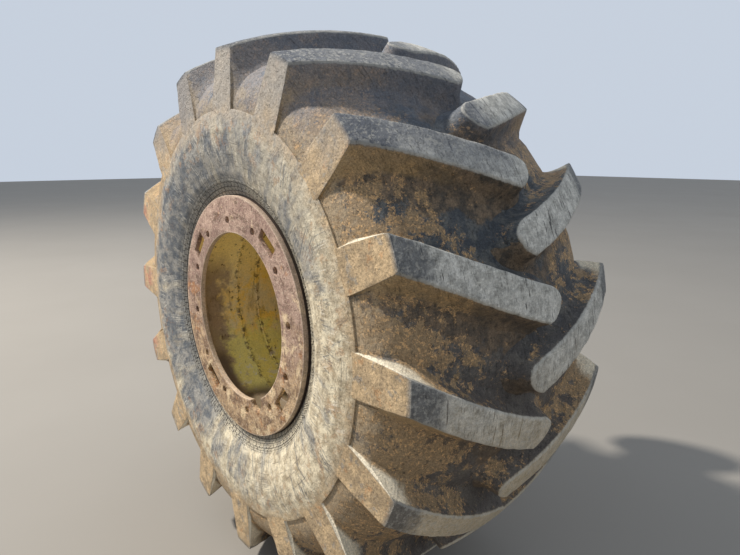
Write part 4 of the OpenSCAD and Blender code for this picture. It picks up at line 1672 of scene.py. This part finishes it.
@dataclass
class Rim:
    """The rim: the turned barrel and the flat ring plate on its outboard lip."""

    shop: Workshop
    form: TyreForm
    paint: BarrelEnamel
    rust: RustedPlate
    plate_t: float = 0.014
    lip: float = 0.0253
    back_lip: float = 0.018
    flange_round: float = 8 * MM
    waist: tuple[float, float] = (0.240, -0.108)
    waist_drop: float = 0.0105
    well: tuple[float, float] = (-0.140, -0.290)
    well_drop: float = 0.034
    bead_at: tuple[float, float] = (0.0, 0.147)
    bead_size: tuple[float, float] = (5 * MM, 2.2 * MM)
    step: tuple[float, ...] = (0.2340, 0.2365, 0.2410, 0.2450)
    step_rise: float = 2 * MM
    turn_steps: int = 256
    ease: float = 1.2 * MM
    notch_at: float = -68.0
    notch_half: float = 0.039
    notch_depth: float = 0.040
    holes: int = 12
    hole_r: float = 0.0135
    hole_circle_r: float = 0.34625
    first_hole: float = 97.07
    windows: int = 4
    window_r: float = 0.368
    window_half: tuple[float, float] = (0.022, 0.0495)
    window_corner: float = 4 * MM
    first_window: float = 52.07

    def barrel_outline(self) -> list[Point]:
        """Section of the barrel as (out, radius) points, with the weld beads that join its bands.

        Returns:
            Points round the closed section.
        """
        t = self.plate_t
        curl = self.flange_round
        half = self.form.rim_half
        seat_r = self.form.bead_r
        flange_r = self.form.flange_r
        seat_in = half - self.form.bead_w
        lip = half + self.lip
        back = -half - self.back_lip
        waist = seat_r - self.waist_drop
        well = seat_r - self.well_drop
        band = waist - t
        outside = [(lip, flange_r), (half + curl, flange_r), (half, flange_r - curl), (half, seat_r)]
        outside += [(seat_in, seat_r - 2 * MM)] + [(w, waist) for w in self.waist]
        outside += [(w, well) for w in self.well] + [(-seat_in, seat_r - 2 * MM), (-half, seat_r)]
        outside += [(-half, flange_r - curl), (-half - curl, flange_r), (back, flange_r)]
        inside = [(back, flange_r - 10 * MM), (-half - t, flange_r - 20 * MM), (-half - t, seat_r - t + curl)]
        inside += [(-half, seat_r - t), (-seat_in + 4 * MM, seat_r - t - 2 * MM)]
        inside += [(self.well[1] - 4 * MM, well - t), (self.well[0] + 6 * MM, well - t)]
        inside.append((self.waist[1] + 6 * MM, band))
        wide, high = self.bead_size
        for at in self.bead_at:
            half_turn = np.linspace(math.pi, 0, 7)
            inside += [(at + wide * math.cos(a), band - high * math.sin(a)) for a in half_turn]
        rises = (0.0, -self.step_rise, -self.step_rise, 0.5 * MM)
        inside += [(w, band + rise) for w, rise in zip(self.step, rises, strict=True)]
        inside += [(seat_in - 4 * MM, seat_r - t), (lip, seat_r - t)]
        return [(CENTRE_OUT + w, r) for w, r in outside + inside]

    def opening(self) -> list[Point]:
        """The ring plate's opening, with its round-bottomed notch.

        Returns:
            Points of the closed outline, as (x, z).
        """
        bore_r = self.rust.bore_r
        mouth = math.degrees(math.asin(self.notch_half / bore_r))
        edge = arc((0, 0), bore_r, self.notch_at + mouth, self.notch_at + 360 - mouth, 200)
        bottom = arc((bore_r + self.notch_depth - self.notch_half, 0), self.notch_half, -90, 90, 20)
        return edge + turned(bottom, self.notch_at)

    def bolt_holes(self) -> list[list[Point]]:
        """The ring plate's empty bolt holes.

        Returns:
            One closed outline of (x, z) points a hole.
        """
        turns = (math.radians(self.first_hole + 360 / self.holes * k) for k in range(self.holes))
        places = ((self.hole_circle_r * math.cos(a), self.hole_circle_r * math.sin(a)) for a in turns)
        return [arc(place, self.hole_r, 0, 345, 23) for place in places]

    def window_outlines(self) -> list[list[Point]]:
        """The ring plate's windows, with rounded corners.

        Returns:
            One closed outline of (x, z) points a window.
        """
        corner = self.window_corner
        high, long = (half - corner for half in self.window_half)
        window = []
        for x, y, start in ((1, 1, 0), (-1, 1, 90), (-1, -1, 180), (1, -1, 270)):
            window += arc((self.window_r + x * high, y * long), corner, start, start + 90, 4)
        pitch = 360 / self.windows
        return [turned(window, self.first_window + pitch * k) for k in range(self.windows)]

    def plate(self) -> bpy.types.Mesh:
        """The ring plate as a filled outline with its holes, windows and notch, its edges eased.

        Returns:
            The new mesh.
        """
        low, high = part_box("ring_plate")
        data = bpy.data.curves.new("ring_plate", "CURVE")
        data.dimensions = "2D"
        data.fill_mode = "BOTH"
        data.extrude = (high.y - low.y) / 2 - self.ease
        data.bevel_depth = self.ease
        data.bevel_resolution = 2
        data.offset = -self.ease
        steps = 240
        circle = arc((0, 0), high.x, 0, 360 - 360 / steps, steps - 1)
        cut_out = [self.opening(), *self.bolt_holes(), *self.window_outlines()]
        for outline in [circle, *(points[::-1] for points in cut_out)]:
            spline = data.splines.new("POLY")
            spline.points.add(len(outline) - 1)
            for point, (x, y) in zip(spline.points, outline, strict=True):
                point.co = (x, y, 0, 1)
            spline.use_cyclic_u = True
        mesh = finished_mesh(placed("ring_plate_outline", data))
        stand = Matrix.Rotation(math.radians(90), 4, "X")
        mesh.transform(Matrix.Translation((0, (low.y + high.y) / 2, 0)) @ stand)
        return self.shop.shade(welded(mesh), 40.0)

    def build(self) -> None:
        """Builds the barrel and the plate."""
        barrel = revolve(self.barrel_outline(), self.turn_steps).mesh("rim_barrel_turned")
        self.shop.piece("rim_barrel_turned", self.shop.shade(barrel, 28.0), self.paint, WHEEL, "rim_barrel")
        self.shop.piece("ring_plate_cut", self.plate(), self.rust, WHEEL, "ring_plate")
        self.shop.dressed("socket_bracket", self.rust, WHEEL, 1.0 * MM)


# The rest of the wheel and the axle


@dataclass
class Centre:
    """The wheel's centre: disc, hub, cover, nuts, bolts and valve."""

    shop: Workshop
    paint: WornEnamel
    fasteners: PlatedSteel
    studs: int = 20
    stud_circle_r: float = 0.2125
    bolts: int = 12
    bolt_circle_r: float = 0.158
    weld_leg: float = 12 * MM
    weld_centre: float = 0.35
    ripples: int = 150

    def weld(self, side: int) -> None:
        """Lays the weld bead in the corner between the disc and the barrel, on one side of the disc.

        Args:
            side: 1 for the outboard side of the disc, -1 for the inboard side.
        """
        low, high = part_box("wheel_disc")
        face_out = -low.y if side > 0 else -high.y
        name = "disc_weld_outboard" if side > 0 else "disc_weld_inboard"
        corner_r = high.x - self.weld_centre * self.weld_leg
        corner_out = face_out - side * (1 - self.weld_centre) * self.weld_leg
        ripple = WeldRipple().mesh(name, corner_r, corner_out)
        bead = self.shop.ring(ripple, self.ripples, self.paint, 60.0)
        self.shop.piece(name, bead, self.paint, WHEEL)

    def build(self) -> None:
        """Dresses the CAD nodes of the centre."""
        shop = self.shop
        steel = self.fasteners
        hub_paint = WornEnamel("greasy_yellow_enamel", "hub_paint", "#b08c30", "#94773a", "#5d4530")
        brass = PlainStuff("tarnished_brass", "valve_brass", "#9c8048", metallic=0.85, roughness=0.4)
        plastic = PlainStuff("black_moulded_plastic", "valve_cap_plastic", "#232220")
        shop.dressed("wheel_disc", self.paint, WHEEL)
        shop.dressed("hub", hub_paint, WHEEL, 3 * MM)
        shop.dressed("hub_cover", hub_paint, WHEEL, 2.5 * MM)
        nut = HexFastener(32 * MM, 27 * MM, washer_r=22 * MM, shank_r=11 * MM, tail=12 * MM)
        shop.fastened(nut, "wheel_studs", self.studs, self.stud_circle_r, steel, WHEEL)
        cap_screw = HexFastener(19 * MM, 9 * MM, washer_r=13 * MM, shank_r=6 * MM, washer_t=2 * MM)
        shop.fastened(cap_screw, "cover_bolts", self.bolts, self.bolt_circle_r, steel, WHEEL)
        for side in (1, -1):
            self.weld(side)
        shop.dressed("cover_plug", steel, WHEEL, 1.0 * MM)
        shop.dressed("valve_stem", brass, WHEEL, 0.6 * MM)
        shop.dressed("valve_cap", plastic, WHEEL, 1.0 * MM)


@dataclass
class AxleEnd:
    """The fixed body: axle housing, brake housing, spindle and their small parts."""

    shop: Workshop
    iron: CastIron
    fasteners: PlatedSteel
    bolts: int = 16
    bolt_circle_r: float = 0.208

    def build(self) -> None:
        """Dresses the CAD nodes of the axle."""
        shop = self.shop
        shop.dressed("axle_housing", self.iron, AXLE, 4 * MM, 3)
        shop.dressed("brake_housing", self.iron, AXLE, 3 * MM)
        shop.dressed("spindle", self.iron, AXLE, 1.0 * MM)
        shop.dressed("seal_ring", PlainStuff("dusty_seal_rubber", "seal_rubber", "#262422"), AXLE, 1.0 * MM)
        bolt = HexFastener(24 * MM, 12 * MM, washer_r=15 * MM, shank_r=8 * MM, washer_t=2.5 * MM)
        shop.fastened(bolt, "brake_bolts", self.bolts, self.bolt_circle_r, self.fasteners, AXLE, -1)
        for node in ("brake_port", "breather", "drain_plug"):
            shop.dressed(node, self.fasteners, AXLE, 1.0 * MM)


# Studio


@dataclass(frozen=True)
class Studio:
    """Floor, light and the photograph's camera, solved from the ring plate's twelve holes."""

    camera_at: tuple[float, float, float] = (1.8807, -2.4412, 0.5673)
    yaw: float = math.radians(50.309)
    pitch: float = math.radians(11.688)
    lens: float = 28.76
    sensor: float = 36.0
    key_from: tuple[float, float, float] = (-0.55, -0.50, 0.80)
    key_away: float = 14.0
    key_size: float = 1.0
    key_power: float = 3040.0
    key_colour: tuple[float, float, float] = (1.0, 0.95, 0.88)
    sky: str = "#d6e0ee"
    sky_strength: float = 0.85
    floor_half: float = 40.0

    def floor(self, shop: Workshop) -> None:
        """Lays a wide pale floor under the tyre.

        Args:
            shop: Workshop that builds the floor's material.
        """
        mesh = bpy.data.meshes.new("floor")
        half = self.floor_half
        level = CAD_BOX[0].z - 1 * MM
        corners = [(x * half, y * half, level) for x, y in ((-1, -1), (1, -1), (1, 1), (-1, 1))]
        mesh.from_pydata(corners, [], [(0, 1, 2, 3)])
        mesh.materials.append(shop.material(StudioFloor()))
        placed("floor", mesh)

    def aim(self, made: bpy.types.Object, at: Sequence[float], look: Vector) -> None:
        """Stands a lamp or a camera at a place, looking along a direction.

        Args:
            made: Lamp or camera.
            at: Its place in the frame.
            look: Direction in which it looks.
        """
        made.location = at
        made.rotation_mode = "QUATERNION"
        made.rotation_quaternion = look.to_track_quat("-Z", "Y")

    def lights(self) -> None:
        """Sets one large key light where the sun stood, and an even pale sky."""
        key = bpy.data.lights.new("key", "AREA")
        key.shape = "DISK"
        key.size = self.key_size
        key.energy = self.key_power
        key.color = self.key_colour
        away = Vector(self.key_from).normalized()
        self.aim(placed("key", key), (CAD_BOX[0] + CAD_BOX[1]) / 2 + away * self.key_away, -away)
        world = bpy.data.worlds.new("sky")
        world.use_nodes = True
        sky = world.node_tree.nodes["Background"]
        sky.inputs["Color"].default_value = srgb(self.sky)
        sky.inputs["Strength"].default_value = self.sky_strength
        bpy.context.scene.world = world

    def camera(self) -> None:
        """Stands the camera where the photograph was taken."""
        data = bpy.data.cameras.new("camera")
        data.sensor_width = self.sensor
        data.lens = self.lens
        made = placed("camera", data)
        level = math.cos(self.pitch)
        look = (-math.sin(self.yaw) * level, math.cos(self.yaw) * level, -math.sin(self.pitch))
        self.aim(made, self.camera_at, Vector(look))
        bpy.context.scene.camera = made

    def build(self, shop: Workshop) -> None:
        """Builds the studio.

        Args:
            shop: Workshop that builds the floor's material.
        """
        self.floor(shop)
        self.lights()
        self.camera()
        bpy.context.scene.view_settings.view_transform = "Standard"


def main() -> None:
    """Builds the whole scene."""
    logging.basicConfig(level=logging.INFO, format="%(message)s")
    shop = Workshop()
    form = TyreForm()
    paint, rust = WornEnamel(), RustedPlate()
    Studio().build(shop)
    Tyre(shop, form, WornRubber()).build()
    Rim(shop, form, BarrelEnamel(), rust).build()
    Centre(shop, paint, PlatedSteel("rust_stained_plating", "wheel_fasteners")).build()
    AxleEnd(shop, CastIron(), PlatedSteel("rusty_fastener_steel", "axle_fasteners", 0.85)).build()


if __name__ == "__main__":
    main()
